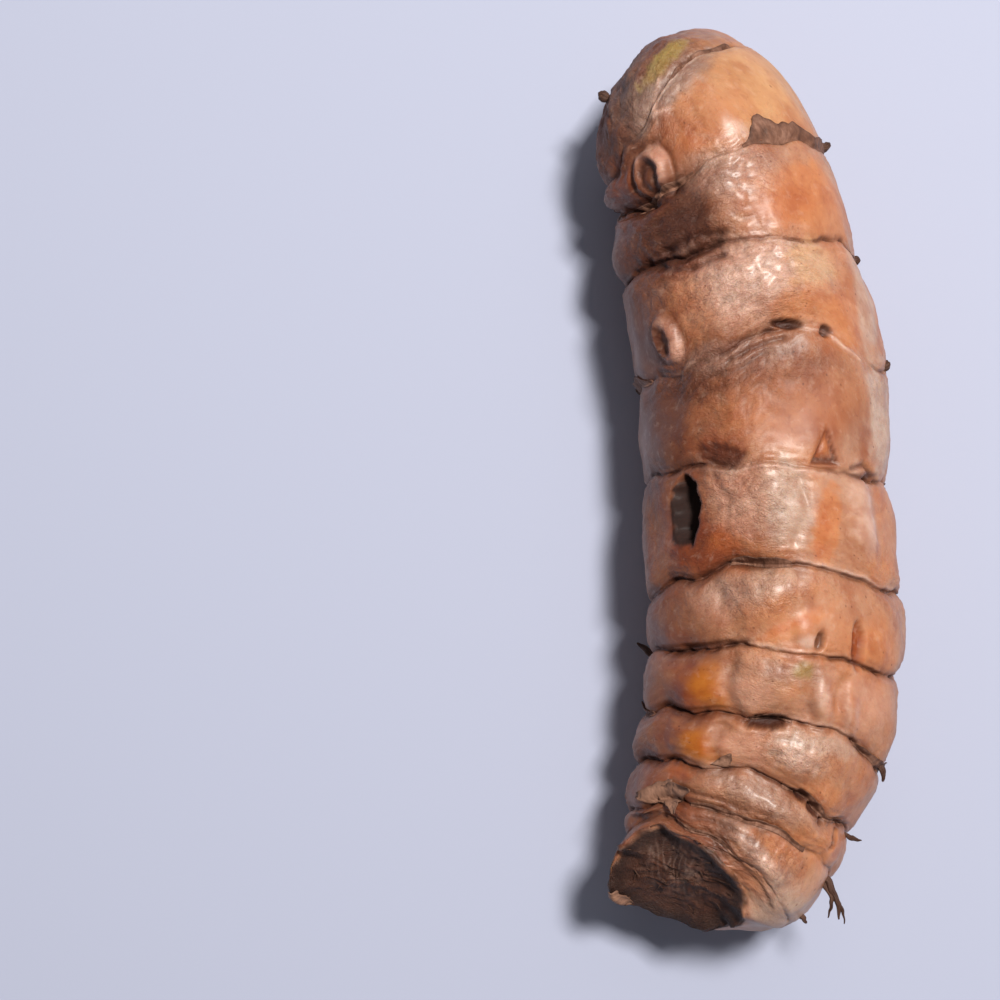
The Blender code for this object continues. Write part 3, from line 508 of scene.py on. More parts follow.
washes = (  # shade, place, angle, half length, half width, strength, softness, turn if any
    # the brown and dark brown rows at angles -36 to -58 between places 7.6 and 9.7 darken the left flank:
    # brown skin, partly painted shade
    ("brown", 9.5, -42, 6, 7, 0.8, 0.4), ("darkBrown", 9.42, -36, 3.4, 4.6, 0.85, 0.6, 20),
    ("darkBrown", 9.7, -58, 3, 3, 0.5, 0.6), ("brown", 8, -40, 4, 7, 0.5, 0.5),
    ("brown", 7.6, -40, 5, 6, 0.85, 0.6), ("darkBrown", 7.7, -58, 6, 3, 0.4, 0.6),
    ("brown", 8.5, -58, 5, 3, 0.6, 0.6), ("darkBrown", 8.98, -42, 1, 6, 0.6, 0.5),
    # darkBrown at 7.84, -38 below: painted shadow just short of leaf scar 8 on the left
    ("darkBrown", 7.84, -38, 1.5, 4, 0.5, 0.6), ("bark", 11.55, -40, 8.5, 8.5, 0.92, 0.35),
    ("darkBrown", 11.45, -70, 5, 5, 0.45, 0.6), ("brown", 11.35, 8, 3.5, 3.5, 0.55, 0.6),
    ("brown", 11.3, 40, 3, 4, 0.3, 0.6), ("greyBrown", 11.05, -16, 3, 4, 0.55, 0.5),
    ("rust", 11.5, -75, 4, 4, 0.4, 0.6), ("brown", 10.7, -60, 5, 5, 0.75, 0.5),
    ("rust", 10.35, -56, 3, 3, 0.5, 0.6), ("darkBrown", 10.1, -52, 1.6, 3, 0.6, 0.6),
    ("greyBrown", 11.25, 42, 3, 3, 0.35, 0.5), ("green", 11.17, 12, 1, 3.2, 0.95, 0.35, -8),
    ("greyBrown", 11.4, -20, 3, 3, 0.4, 0.5), ("cream", 10.5, 42, 5.5, 6.5, 0.75, 0.5),
    ("orange", 10.4, 0, 4, 4, 0.75, 0.5), ("dust", 10.88, 4, 1.2, 5, 0.75, 0.6),
    ("brown", 10.55, 16, 5, 8, 0.16, 0.8), ("greyBrown", 10.9, 4, 1.3, 5, 0.3, 0.6),
    ("rust", 10.45, -14, 2.6, 2.2, 0.35, 0.6), ("deepOrange", 10.22, -16, 1.6, 2.2, 0.3, 0.6),
    ("brown", 10.28, -38, 3.6, 3, 0.6, 0.3, 22), ("pink", 10.28, -37, 2.5, 1.75, 0.85, 0.18, 22),
    ("brown", 10.28, -40, 2, 1.25, 0.85, 0.2, 22), ("darkBrown", 10.28, -39.5, 1.8, 1.1, 0.95, 0.2, 22),
    ("brown", 10.26, -40, 0.8, 0.35, 0.35, 0.5, 22), ("pale", 10.18, 11, 1.2, 1, 0.7, 0.5),
    ("orange", 9.42, 30, 4.2, 4.8, 0.8, 0.45), ("pink", 9.78, 1, 3, 3.4, 0.6, 0.5),
    ("greyBrown", 9.85, -12, 2.2, 3, 0.45, 0.6), ("deepOrange", 9.35, 24, 1.8, 2.8, 0.35, 0.6),
    ("dust", 9.85, 30, 1, 4.5, 0.35, 0.6), ("pink", 8.55, -8, 4.2, 6.5, 0.8, 0.45, -12),
    # pale at 8.58, -4 below: a painted highlight over the crinkled middle of this segment
    ("pale", 8.58, -4, 3.2, 4.4, 0.6, 0.6, -15), ("cream", 8.76, 27, 2.2, 2.6, 0.8, 0.3),
    ("greyCream", 8.7, 29, 2.4, 2.6, 0.3, 0.6), ("orange", 8.2, 38, 3.2, 4.6, 0.85, 0.5),
    # greyCream at 8.6, 64 below: grey-cream skin on the right edge, partly a painted reflection
    ("orange", 8.22, 12, 1.6, 2.4, 0.7, 0.5), ("greyCream", 8.6, 64, 5.5, 2.3, 0.7, 0.4),
    ("brown", 8.33, -50, 3.2, 2, 0.6, 0.3, -8), ("pink", 8.33, -49.5, 2.3, 1.4, 0.75, 0.2, -8),
    ("brown", 8.31, -51.5, 1.6, 0.7, 0.85, 0.25, -8), ("darkBrown", 8.31, -53, 1.5, 0.4, 0.85, 0.3, -8),
    ("orange", 8.5, -34, 3, 2, 0.5, 0.5), ("dust", 7.88, -10, 1.3, 5.5, 0.6, 0.6),
    ("orange", 7.4, 4, 3.4, 6, 0.75, 0.6), ("brown", 7.75, 6, 3, 6, 0.5, 0.6),
    ("rust", 7.45, 12, 3.6, 6.5, 0.4, 0.6), ("brown", 7.35, 44, 4, 3, 0.3, 0.6),
    # greyCream at 7.55, 64 below: grey-cream skin on the right edge, partly a painted reflection
    ("rust", 7.3, 22, 2.2, 2.2, 0.35, 0.6), ("greyCream", 7.55, 64, 6, 2.4, 0.9, 0.3),
    ("darkBrown", 7.13, -26, 1.05, 2.3, 0.97, 0.3, 10), ("soot", 7.1, -27, 0.6, 1.6, 0.5, 0.5, 10),
    # rust at 6.3, -40 and darkBrown at 6.26, -37 below the sunken eye: rust-brown skin, partly painted shade
    ("rust", 7.2, -26, 1.4, 2.6, 0.6, 0.5), ("rust", 6.3, -40, 2.8, 3.6, 0.98, 0.4),
    ("darkBrown", 6.26, -37, 1.8, 2.6, 0.35, 0.6), ("deepOrange", 6.28, -27, 1.5, 1.4, 0.6, 0.5),
    ("pink", 6.7, -18, 3.2, 3.2, 0.6, 0.5), ("greyCream", 6.65, 5, 4, 2.2, 0.7, 0.4),
    ("orange", 6.45, 20, 4.4, 1.3, 0.95, 0.3, 16), ("deepOrange", 6.35, 17, 2.4, 0.6, 0.6, 0.4, 16),
    # pale at 6.66, 43 below: pale dry skin, partly a painted highlight on the raised strip
    ("orange", 6.6, 60, 4.6, 2.4, 0.5, 0.5), ("pale", 6.66, 43, 3.8, 1.3, 0.6, 0.4, -4),
    ("orange", 6.2, 52, 1.6, 2.2, 0.6, 0.5), ("rust", 6.1, -28, 1, 3, 0.5, 0.5),
    ("greyCream", 5.78, -14, 1.5, 5, 0.5, 0.5, -10), ("pink", 5.6, -30, 1.8, 3, 0.4, 0.6),
    ("orange", 5.35, 4, 0.85, 5, 0.95, 0.3, -28), ("deepOrange", 5.3, -3, 0.4, 3, 0.6, 0.4, -28),
    ("orange", 5.25, 46, 2.4, 3, 0.75, 0.4), ("tan", 5.78, 40, 1.3, 5, 0.7, 0.5),
    ("deepOrange", 5.22, 34, 2.2, 0.8, 0.9, 0.25, -4), ("brown", 5.22, 32.5, 2.1, 0.35, 0.9, 0.3, -4),
    ("pale", 5.16, 8, 0.6, 0.8, 0.8, 0.4), ("rust", 4.45, -46, 2.2, 2, 0.75, 0.5),
    ("amber", 4.45, -37, 1.9, 1.5, 0.9, 0.6, 20), ("amber", 4.25, -30, 1.2, 1.6, 0.6, 0.6),
    ("deepOrange", 4.15, -42, 0.8, 1.4, 0.6, 0.5), ("pink", 4.4, -18, 1.8, 2.4, 0.5, 0.5),
    ("dust", 4.75, 4, 1, 4.6, 0.5, 0.6), ("green", 4.8, 7, 0.8, 1, 0.75, 0.5),
    # pale at 4.42, 17 and at 4.28, 30.5 below: painted highlights on two raised strips
    ("pink", 4.4, 34, 2.6, 5, 0.5, 0.5), ("pale", 4.42, 17, 2.1, 0.6, 0.85, 0.4, -14),
    ("pale", 4.28, 30.5, 1.5, 0.35, 0.7, 0.5, -10), ("orange", 4.2, 22, 1.6, 2, 0.45, 0.6),
    ("rust", 3.5, -50, 1.4, 1.8, 0.7, 0.5), ("amber", 3.45, -38, 1.4, 2, 0.95, 0.55, 10),
    ("amber", 3.05, -45, 1.2, 1.2, 0.85, 0.5), ("deepOrange", 2.85, -44, 1.2, 1.8, 0.8, 0.4),
    # pale at 3.54, 11 below: a painted highlight on the hump
    ("pink", 3.5, -14, 1.6, 3, 0.45, 0.5), ("pale", 3.54, 11, 1.3, 2.2, 0.85, 0.7, 10),
    ("orange", 3.25, 36, 1.6, 3.4, 0.6, 0.5), ("greyCream", 3.78, 24, 0.9, 4.5, 0.6, 0.5),
    ("dust", 2.6, 2, 1.4, 5, 0.6, 0.5, 12), ("orange", 2.35, 52, 2.2, 2.4, 0.8, 0.4),
    ("brown", 1.95, -20, 0.9, 5, 0.5, 0.5), ("rust", 0.9, -26, 1.6, 4.6, 0.6, 0.5),
    ("brown", 1.2, -16, 1.2, 4.6, 0.5, 0.5, 10), ("orange", 1.35, 30, 1.6, 4, 0.4, 0.6),
    # pale at 1.42, 9 below: a painted highlight streak on the flank
    ("pale", 1.42, 9, 0.8, 3.2, 0.85, 0.6, 24), ("dust", 0.9, 50, 1.8, 3.6, 0.6, 0.5),
    ("greyCream", 1, 62, 3, 4.5, 0.6, 0.6), ("brown", 0.45, 20, 1, 7, 0.5, 0.5, 10),
    ("darkBrown", 0.35, -2, 1, 4, 0.5, 0.6, 10), ("darkBrown", 2.95, 30, 0.6, 1.6, 0.7, 0.3, 30),
    ("darkBrown", 3.93, -7, 0.6, 1.9, 0.85, 0.3, -10), ("darkBrown", 2.62, 54, 1, 0.45, 0.8, 0.3, 10),
    ("soot", 8.05, 8, 0.42, 1.4, 0.9, 0.3, 8), ("darkBrown", 8, 27, 0.55, 0.6, 0.95, 0.3),
    ("brown", 6.03, -14, 0.6, 2.2, 0.8, 0.4), ("darkBrown", 7.04, 48, 0.4, 1.6, 0.7, 0.4),
)
for i, (shade, at, turnRound, along, around, strength, soft, *turned) in enumerate(washes):
    share = spot(at, turnRound, along, around, *turned, soft=soft, wobble=0.35, seed=i)
    wash(shade, strength * share)
# painted shade in the sunken eye: it and a rim round it are painted dark brown, then soot, over dark skin
eyePaintedShade = spot(6.6, -48, 3.2, 1.6, 4, 0.2, 0.2)
wash("darkBrown", 0.95 * np.maximum(ease(0.02, 0.3, eyePit), eyePaintedShade))
eyePaintedShade = np.maximum(eyePit, eyePaintedShade)
wash("soot", 0.9 * ease(0.05, 0.4, eyePaintedShade))
wash("rust", 0.7 * vee)
wash("darkBrown", 0.85 * np.clip(vee - wedge(7.1, 23, 2.7, 2.0, 4, 0.12), 0, 1))
wash("orange", 0.6 * veeHeart)
wash("rust", 0.85 * slit)
wash("darkBrown", 0.7 * spot(5.2, 31.5, 2.0, 0.3, -4, 0.4))
wash("darkBrown", 0.85 * notch)
veeRim = wedge(7.02, 23, 3.8, 3.6, 4, 0.12) - wedge(7.08, 23, 3.0, 2.4, 4, 0.12)
wash("brown", 0.5 * np.clip(veeRim, 0, 1))

# pale papery lips beside the leaf scars, then darker colour in the creases, cuts and pits
lipSkirt = np.abs(lipMark) * ease(-0.1, 0.4, seam * lipSide) * np.exp(-np.abs(seam))
wash("greyCream", 0.5 * skinOnly * lipSkirt * (0.5 + layered(straight, 1.4, 107)))
wash("pale", 0.85 * lipLine * skinOnly)
wash("pale", 0.8 * paleLine)
ringDark = np.exp(-((np.abs(ragged) / (0.20 + 0.6 * foldMark)) ** 1.6))
ringDark = ringDark * skinOnly * np.clip(1.15 * darkMark, 0, 1) * dashes
wash("brown", 0.55 * skinOnly * darkMark * foldMark * 2 * np.exp(-((seam / 1.1) ** 2)))
wash("darkBrown", 0.9 * ringDark)
wash("darkBrown", 0.8 * foldShare)
wash("darkBrown", 0.8 * pits)
wash("brown", 0.45 * markHalos)
wash("darkBrown", 0.8 * rootMarks)
tint = tint * (1 - 0.30 * crinkle * np.clip(-wrinkles, 0, 1))[..., None]

# the broken face
streaks = ridged(plain + 0.2 * grain(plain, 1.5, 66)[..., None], (0.55, 3.6, 3.0), 67)
lowRim = ease(-0.2, 0.4, np.cos(angle - math.radians(158)))  # the dark break runs out over the low left rim
onFace = ease(0.02, 0.10, -place + 0.05 * rimNoise + 0.24 * lowRim)
wash("wood", onFace)
wash("brown", 0.30 * onFace * ease(0.3, 0.9, tornLong) * ease(0.2, 0.6, -place))
wash("dust", 0.38 * onFace * ease(0.35, 0.95, streaks) * spot(-0.75, -60, 3.8, 2.4, soft=0.7))
mouldy = ease(-0.1, 0.6, layered(plain, 1.6, 65)) * spot(-0.72, -60, 3.8, 2.8, soft=0.7)
wash("greyBrown", 0.35 * onFace * mouldy)
wash("soot", 0.75 * onFace * np.exp(-(((place + 0.12) / 0.12) ** 2)))
wash("soot", 0.7 * nearRim * ease(-0.3, 0.4, rimNoise))
print("skin painted")

# dry, dull areas against moist, shiny ones
wetSpots = (  # place, angle, half length, half width
    (9.78, 3, 3, 3.4), (10.15, 11, 1.5, 1.6), (8.6, -6, 3.8, 5.5), (8.62, 8, 2.4, 2.4), (6.66, 43, 4, 1.8),
    (6.85, -3, 2.2, 2), (6.25, -3, 1.6, 2.6), (5.65, -10, 1.9, 3.4), (5.2, 8, 1, 1.2), (4.5, 3, 1.8, 2),
    (4.3, 17, 2.2, 1.5), (4.3, 33, 2.2, 1.5), (3.52, 11, 1.8, 2.8), (2.5, 5, 1.2, 3.8), (1.42, 9, 1.2, 3.6),
    (11.1, -4, 1.5, 3),
)
dry = 0.42 + 0.25 * layered(straight, 6, 110)
for i, where in enumerate(wetSpots):
    dry = dry * (1 - 0.9 * spot(*where, soft=0.7, seed=i))
for drier in (0.8 * spot(11.5, -50, 8, 8, soft=0.4), 0.9 * onFace, 0.75 * ringDark, eyePaintedShade,
              0.72 * spot(7.5, 6, 4.8, 9, soft=0.5)):
    dry = np.maximum(dry, drier)
dry = np.clip(dry, 0, 1)

class Wire:  # wraps a shader socket so that sums can be written plainly
    def __init__(self, tree, socket=None):
        self.tree, self.socket = tree, socket

    def node(self, kind, settings=None, inputs=None, output=0):
        made = self.tree.nodes.new("ShaderNode" + kind)
        for name, value in (settings or {}).items():
            if name == "stops":
                ramp = made.color_ramp.elements
                while len(ramp) < len(value):
                    ramp.new(0.5)
                for stop, (position, colour) in zip(ramp, value):
                    stop.position, stop.color = position, (*colour, 1)
            else:
                setattr(made, name, value)
        for name, value in (inputs or {}).items():
            if isinstance(value, Wire):
                self.tree.links.new(value.socket, made.inputs[name])
            else:
                made.inputs[name].default_value = value
        return Wire(self.tree, made.outputs[output])

    def sum(self, operation, *values):
        return self.node("Math", {"operation": operation}, dict(enumerate(values)))

    def __add__(self, other): return self.sum("ADD", self, other)
    def __sub__(self, other): return self.sum("SUBTRACT", self, other)
    def __rsub__(self, other): return self.sum("SUBTRACT", other, self)
    def __mul__(self, other): return self.sum("MULTIPLY", self, other)
    __radd__, __rmul__ = __add__, __mul__

    def between(self, low, high):  # 0 below low, 1 above high
        return self.node("MapRange", {"interpolation_type": "SMOOTHSTEP"}, {0: self, 1: low, 2: high})

    def over(self, share, other, mode="MIX"):  # this colour with the other laid over it
        return self.node("Mix", {"data_type": "RGBA", "blend_type": mode, "clamp_factor": True},
                         {0: share, 6: self, 7: other}, 2)

    def stretched(self, x, y, z):
        return self.node("VectorMath", {"operation": "MULTIPLY"}, {0: self, 1: (x, y, z)})

    def moved(self, other, amount):  # this place pushed about by a colour
        return self.node("VectorMath", {"operation": "MULTIPLY_ADD"}, {0: other, 1: (amount,) * 3, 2: self})

    def noise(self, scale, detail=3, rough=0.55, output=0):
        return self.node("TexNoise", {"noise_dimensions": "3D"},
                         {"Vector": self, "Scale": scale, "Detail": detail, "Roughness": rough}, output)

    def cells(self, scale, feature="F1"):
        return self.node("TexVoronoi", {"voronoi_dimensions": "3D", "feature": feature},
                         {"Vector": self, "Scale": scale})

def startMaterial(name):
    material = bpy.data.materials.new(name)
    material.use_nodes = True
    tree = material.node_tree
    shader = tree.nodes["Principled BSDF"]
    return material, Wire(tree), shader

def feed(material, shader, **links):
    for name, wire in links.items():
        material.node_tree.links.new(wire.socket, shader.inputs[name.replace("_", " ")])

def fixed(shader, **values):
    for name, value in values.items():
        shader.inputs[name.replace("_", " ")].default_value = value

def attribute(start, name, output=2):  # 0 colour, 1 vector, 2 value
    return start.node("Attribute", {"attribute_name": name}, {}, output)

def skinMaterial():
    material, start, shader = startMaterial("turmericSkin")
    at = attribute(start, "straight", 1)
    base = attribute(start, "tint", 0)
    dryness, crinkled, face, deep = (attribute(start, name) for name in ("dry", "crinkle", "face", "hollow"))
    warped = at.moved(at.noise(0.9, 2, output=1), 0.9)
    # colour
    mottle = at.noise(0.8, 3).between(0.32, 0.68)
    colour = base.over(mottle * 0.34, (0.72, 0.48, 0.38, 1), "MULTIPLY")
    cloud = warped.noise(0.33, 3, 0.55).between(0.46, 0.66)
    colour = colour.over(cloud * (1 - face) * 0.42, (0.62, 0.36, 0.25, 1), "MULTIPLY")
    fleck = warped.noise(2.0, 3, 0.55)
    fleck = fleck.between(0.55, 0.75) * (0.12 + 0.35 * dryness)
    colour = colour.over(fleck, (0.50, 0.27, 0.17, 1), "MULTIPLY")
    pale = warped.noise(1.2, 3, 0.5).between(0.54, 0.74)
    colour = colour.over(pale * 0.14 * (1 - face) * (1 - deep), (0.72, 0.50, 0.39, 1))
    vein = warped.stretched(1, 1.5, 1).noise(1.5, 3)
    vein = 1 - ((vein - 0.5).sum("ABSOLUTE", vein - 0.5) * 22).between(0, 1)
    colour = colour.over(vein * crinkled * 0.42, (0.40, 0.21, 0.14, 1), "MULTIPLY")
    specks = at.cells(1.3).between(0.20, 0.05) * at.noise(0.5, 2).between(0.5, 0.62)
    colour = colour.over(specks * 0.6, (0.24, 0.11, 0.07, 1), "MULTIPLY")
    # darker in the hollows: along the leaf scars, in pits and folds, and painted shade in the sunken eye
    colour = colour.over(deep * 0.6, (0.30, 0.11, 0.05, 1), "MULTIPLY")
    # shine
    wet = (1 - dryness) * (1 - deep)
    sheen = at.noise(1.3, 3)
    rough = 0.36 + 0.34 * dryness + 0.12 * (sheen - 0.5) + 0.15 * deep
    coat = wet * wet * 0.46 + 0.03
    # fine relief, in millimetres
    puckers = warped.cells(2.1, "SMOOTH_F1")
    creping = warped.stretched(1, 1.5, 1).noise(3.4, 3, 0.6)
    height = crinkled * (puckers * 0.085 + creping * 0.15)
    height = height + warped.noise(0.9, 1) * 0.05 + at.noise(4.5, 2) * 0.014
    fibres = at.stretched(1.0, 3.0, 1.0).noise(3.0, 3, 0.6)
    height = height + face * fibres * 0.22
    bump = start.node("Bump", {}, {"Strength": 1.0, "Distance": mm, "Height": height})
    feed(material, shader, Base_Color=colour, Roughness=rough, Coat_Weight=coat, Normal=bump)
    fixed(shader, Subsurface_Weight=0.14, Subsurface_Radius=(1.0, 0.35, 0.12), Subsurface_Scale=1.2 * mm,
          Coat_Roughness=0.31, IOR=1.45)
    return material

def scaleMaterial():
    material, start, shader = startMaterial("dryLeafScale")
    at = attribute(start, "straight", 1)
    edge, paleness, sooty = (attribute(start, name) for name in ("edge", "pale", "sooty"))
    veins = at.stretched(1.6, 0.8, 1.6).noise(1.6, 3, 0.55)
    patches = at.noise(0.7, 3)
    ramp = ((0.36, (0.070, 0.026, 0.015)), (0.5, (0.165, 0.070, 0.042)), (0.64, (0.30, 0.150, 0.100)))
    colour = start.node("ValToRGB", {"stops": ramp}, {0: veins * 0.45 + patches * 0.55})
    colour = colour.over(paleness * 0.8, (0.36, 0.19, 0.125, 1)).over(edge * 0.5, (0.06, 0.024, 0.015, 1))
    colour = colour.over(sooty, (0.035, 0.016, 0.011, 1))
    rough = 0.50 + 0.25 * veins
    height = veins * 0.16 + at.noise(3.0, 2) * 0.07
    bump = start.node("Bump", {}, {"Strength": 1.0, "Distance": mm, "Height": height})
    feed(material, shader, Base_Color=colour, Roughness=rough, Normal=bump)
    fixed(shader, IOR=1.4)
    return material

def tableMaterial():
    material, start, shader = startMaterial("paleTable")
    fixed(shader, Base_Color=(0.455, 0.485, 0.63, 1), Roughness=0.75)
    return material

skinLook, scaleLook, tableLook = skinMaterial(), scaleMaterial(), tableMaterial()
print("materials written")

# the root's own piece
def withEnds(grid):  # a list of its values, then the means of its first and last rows for the end points
    ends = [np.atleast_2d(grid[row].mean(0)) for row in (0, -1)]
    return np.concatenate([grid.reshape(place.size, -1)] + ends)

faces = [tuple(f) for f in gridFaces(*place.shape)] + capFaces(*place.shape)
body = makeMesh("turmericSkin", withEnds(surface) * mm, faces, skinLook)
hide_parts("turmeric_root")
# darker colour in the hollows: along the leaf scars, in pits and folds, and painted shade in the sunken eye
hollow = 0.5 * ringDark + 0.6 * pits + 0.5 * foldShare
hollow = np.clip(np.where(isScar, 0, np.maximum(hollow, eyePaintedShade)), 0, 1)
tint = np.concatenate((np.clip(tint, 0.003, 0.9), np.ones(place.shape + (1,))), -1)
for name, grid in (("tint", tint), ("straight", straight), ("dry", dry), ("crinkle", crinkle),
                   ("face", onFace), ("hollow", hollow)):
    store(body, name, withEnds(grid))
print("skin made:", len(faces), "faces")

# dry leaf remains
def makeShell(name, outer, ways, thick, straightAt, edge, pale):  # a thin closed sheet over a grid of points
    m, n = outer.shape[:2]
    inner = outer - ways * thick
    both = np.concatenate((outer.reshape(-1, 3), inner.reshape(-1, 3)))
    both[:, 2] = np.maximum(both[:, 2], 0.02)
    top = gridFaces(m, n, closed=False)
    faces = [tuple(f) for f in top] + [tuple(f[::-1] + m * n) for f in top]
    border = [(0, j) for j in range(n)] + [(i, n - 1) for i in range(1, m)]
    border += [(m - 1, j) for j in range(n - 2, -1, -1)] + [(i, 0) for i in range(m - 2, 0, -1)]
    loop = [i * n + j for i, j in border]
    for a, b in zip(loop, loop[1:] + loop[:1]):
        faces.append((b, a, a + m * n, b + m * n))
    piece = makeMesh(name, both * mm, faces, scaleLook)
    store(piece, "straight", np.tile(straightAt.reshape(-1, 3), (2, 1)))
    store(piece, "edge", np.tile(edge.ravel(), 2))
    store(piece, "pale", np.full(len(both), pale))

fringes = {  # torn leaf-scale remains: leaf scar, curl, then angles and heights in millimetres
    "crownSheath": (10, 0.1, ((10, 0.1), (13, 0.3), (16, 0.8), (19, 1.6), (22, 2.4), (26, 2.7), (30, 2.4),
        (34, 1.8), (40, 1.5), (48, 1.3), (55, 1.15), (60, 0.8), (70, 1), (80, 0.9), (90, 0.2))),
    "crownSheathLeft": (10, 0.15, ((-64, 0.2), (-50, 0.5), (-38, 0.3), (-28, 0.5), (-18, 0.2))),
    "middleFlap": (6, 0.25, ((-26, 0.2), (-20, 0.7), (-12, 1), (-4, 0.9), (2, 0.3))),
    "neckRemnant": (9, 0.2, ((62, 0.1), (70, 0.6), (80, 0.8), (92, 0.2))),
    "neckBackRemnant": (9, 0.2, ((96, 0.2), (115, 0.9), (140, 1.1), (165, 0.6), (180, 0.2))),
    "tipTear": (11, 0.12, ((4, 0.1), (12, 0.35), (20, 0.25), (30, 0.5), (38, 0.3), (46, 0.55), (54, 0.15))),
    "shoulderBackRemnant": (8, 0.2, ((-150, 0.2), (-128, 0.9), (-104, 1.2), (-84, 0.7), (-70, 0.2))),
    "waistBackRemnant": (7, 0.2, ((84, 0.2), (100, 0.9), (124, 0.8), (150, 1), (170, 0.2))),
    "bellyRemnant": (5, 0.2, ((100, 0.2), (118, 0.8), (136, 0.9), (150, 0.2))),
    "lowFlap": (4, 0.3, ((-16, 0.15), (-9, 0.5), (-2, 0.6), (5, 0.2))),
    "lowSideRemnant": (4, 0.3, ((40, 0.15), (52, 0.4), (64, 0.8), (76, 0.9), (88, 0.3))),
    "lowLeftRemnant": (4, 0.25, ((-150, 0.2), (-120, 0.8), (-95, 1), (-76, 0.3))),
    "heelRemnant": (3, 0.25, ((10, 0.15), (22, 0.5), (32, 0.7), (42, 0.4), (54, 0.5), (64, 0.2))),
    "heelBackRemnant": (3, 0.2, ((96, 0.2), (120, 0.8), (145, 0.6), (160, 0.2))),
    "collarRemnant": (2, 0.25, ((-34, 0.15), (-22, 0.5), (-8, 0.4), (6, 0.5), (22, 0.3), (36, 0.15))),
    "brokenRimRemnant": (1, 0.25, ((-44, 0.15), (-30, 0.5), (-16, 0.3), (0, 0.4), (14, 0.15))),
    "crownBackRemnant": (10, 0.2, ((-150, 0.2), (-130, 1), (-108, 0.8), (-90, 0.2))),
}
for index, (name, (scarNumber, curl, outline)) in enumerate(fringes.items()):
    bends, heights = np.array(outline, float).T
    count = max(14, int((bends[-1] - bends[0]) * 0.2 / 0.16))
    sweep = np.radians(np.linspace(bends[0], bends[-1], count))
    high = np.interp(np.degrees(sweep), bends, heights)
    ringLine = np.stack((9 * np.sin(sweep), np.full(count, index * 23.0), 9 * np.cos(sweep)), -1)
    high = high * (1 + 0.35 * grain(ringLine, 1.6, 200 + index) + 0.16 * grain(ringLine, 0.6, 230 + index))
    high = np.maximum(high, 0.08)
    t = np.linspace(0, 1, 9)[:, None]
    spanHere = np.interp(sweep, angles, spans[scarNumber]) if scarNumber < tipRing else np.full(count, 12.0)
    reach = scarNumber - 0.25 / spanHere + t * (high + 0.25) / spanHere
    sweepGrid = np.broadcast_to(sweep, reach.shape) + 0.012 * t * grain(ringLine, 1.2, 260 + index)
    at, ways = skinAt(reach, sweepGrid)
    way3 = np.stack((9 * np.sin(sweepGrid), index * 23.0 + t * high, 9 * np.cos(sweepGrid)), -1)
    lifted = curl * t**1.6 * np.minimum(high, 1.4) * (1 + 0.5 * grain(way3, 1.2, 290 + index))
    lifted = 0.02 + lifted + 0.05 * grain(way3, 0.8, 300 + index) * t
    outer = at + ways * (lifted + 0.05)[..., None]
    edgeShare = np.broadcast_to(ease(0.75, 1.0, t), reach.shape)
    makeShell(name, outer, ways, 0.10, way3, edgeShare, pale=0.1)
print("leaf remains made:", len(fringes))

flakes = {  # loose papery flakes: place, angle, length, width, turn, lift
    "tornFlakeA": (2.12, -50, 3.5, 2.9, -78, 0.5), "tornFlakeB": (2.08, -48, 3.3, 2.6, 62, 0.6),
    "tornFlakeC": (2.15, -49, 3.6, 2.6, 158, 0.45), "rimFlake": (0.1, -140, 4, 2.6, -110, 0.35),
    "greySliver": (3.1, -22, 1.7, 1.5, 20, 0.2),
}
for index, (name, (at0, bend, long, wide, turned, lift)) in enumerate(flakes.items()):
    u, w = np.meshgrid(np.linspace(0, 1, 15), np.linspace(-1, 1, 13), indexing="ij")
    nibbled = grain(np.stack((u * 4, w * 0, 0 * u + index * 9), -1), 0.7, 400 + index)
    outline = (1 - u) ** 0.8 * (1 + 0.25 * nibbled)
    forward, sideways = turnedBy(turned, (u - 0.12) * long, w * wide * 0.5 * (0.12 + outline))
    spanHere = np.interp(math.radians(bend), angles, spans[int(at0)])
    reachRow = at0 + forward / max(spanHere, 2.5)
    sweepRow = math.radians(bend) + sideways / 10
    at, ways = skinAt(np.clip(reachRow, -0.5, 11.9), sweepRow)
    way3 = np.stack((sideways * 2, forward * 2 + index * 31, 0 * forward), -1)
    lifted = 0.12 + lift * (0.25 + 0.75 * u) * (0.6 + 0.4 * w * w) + 0.12 * grain(way3, 1.3, 420 + index)
    outer = at + ways * lifted[..., None]
    makeShell(name, outer, ways, 0.09, way3 * 0.5, ease(0.6, 1, np.maximum(np.abs(w), u)), pale=0.9)
print("flakes made:", len(flakes))

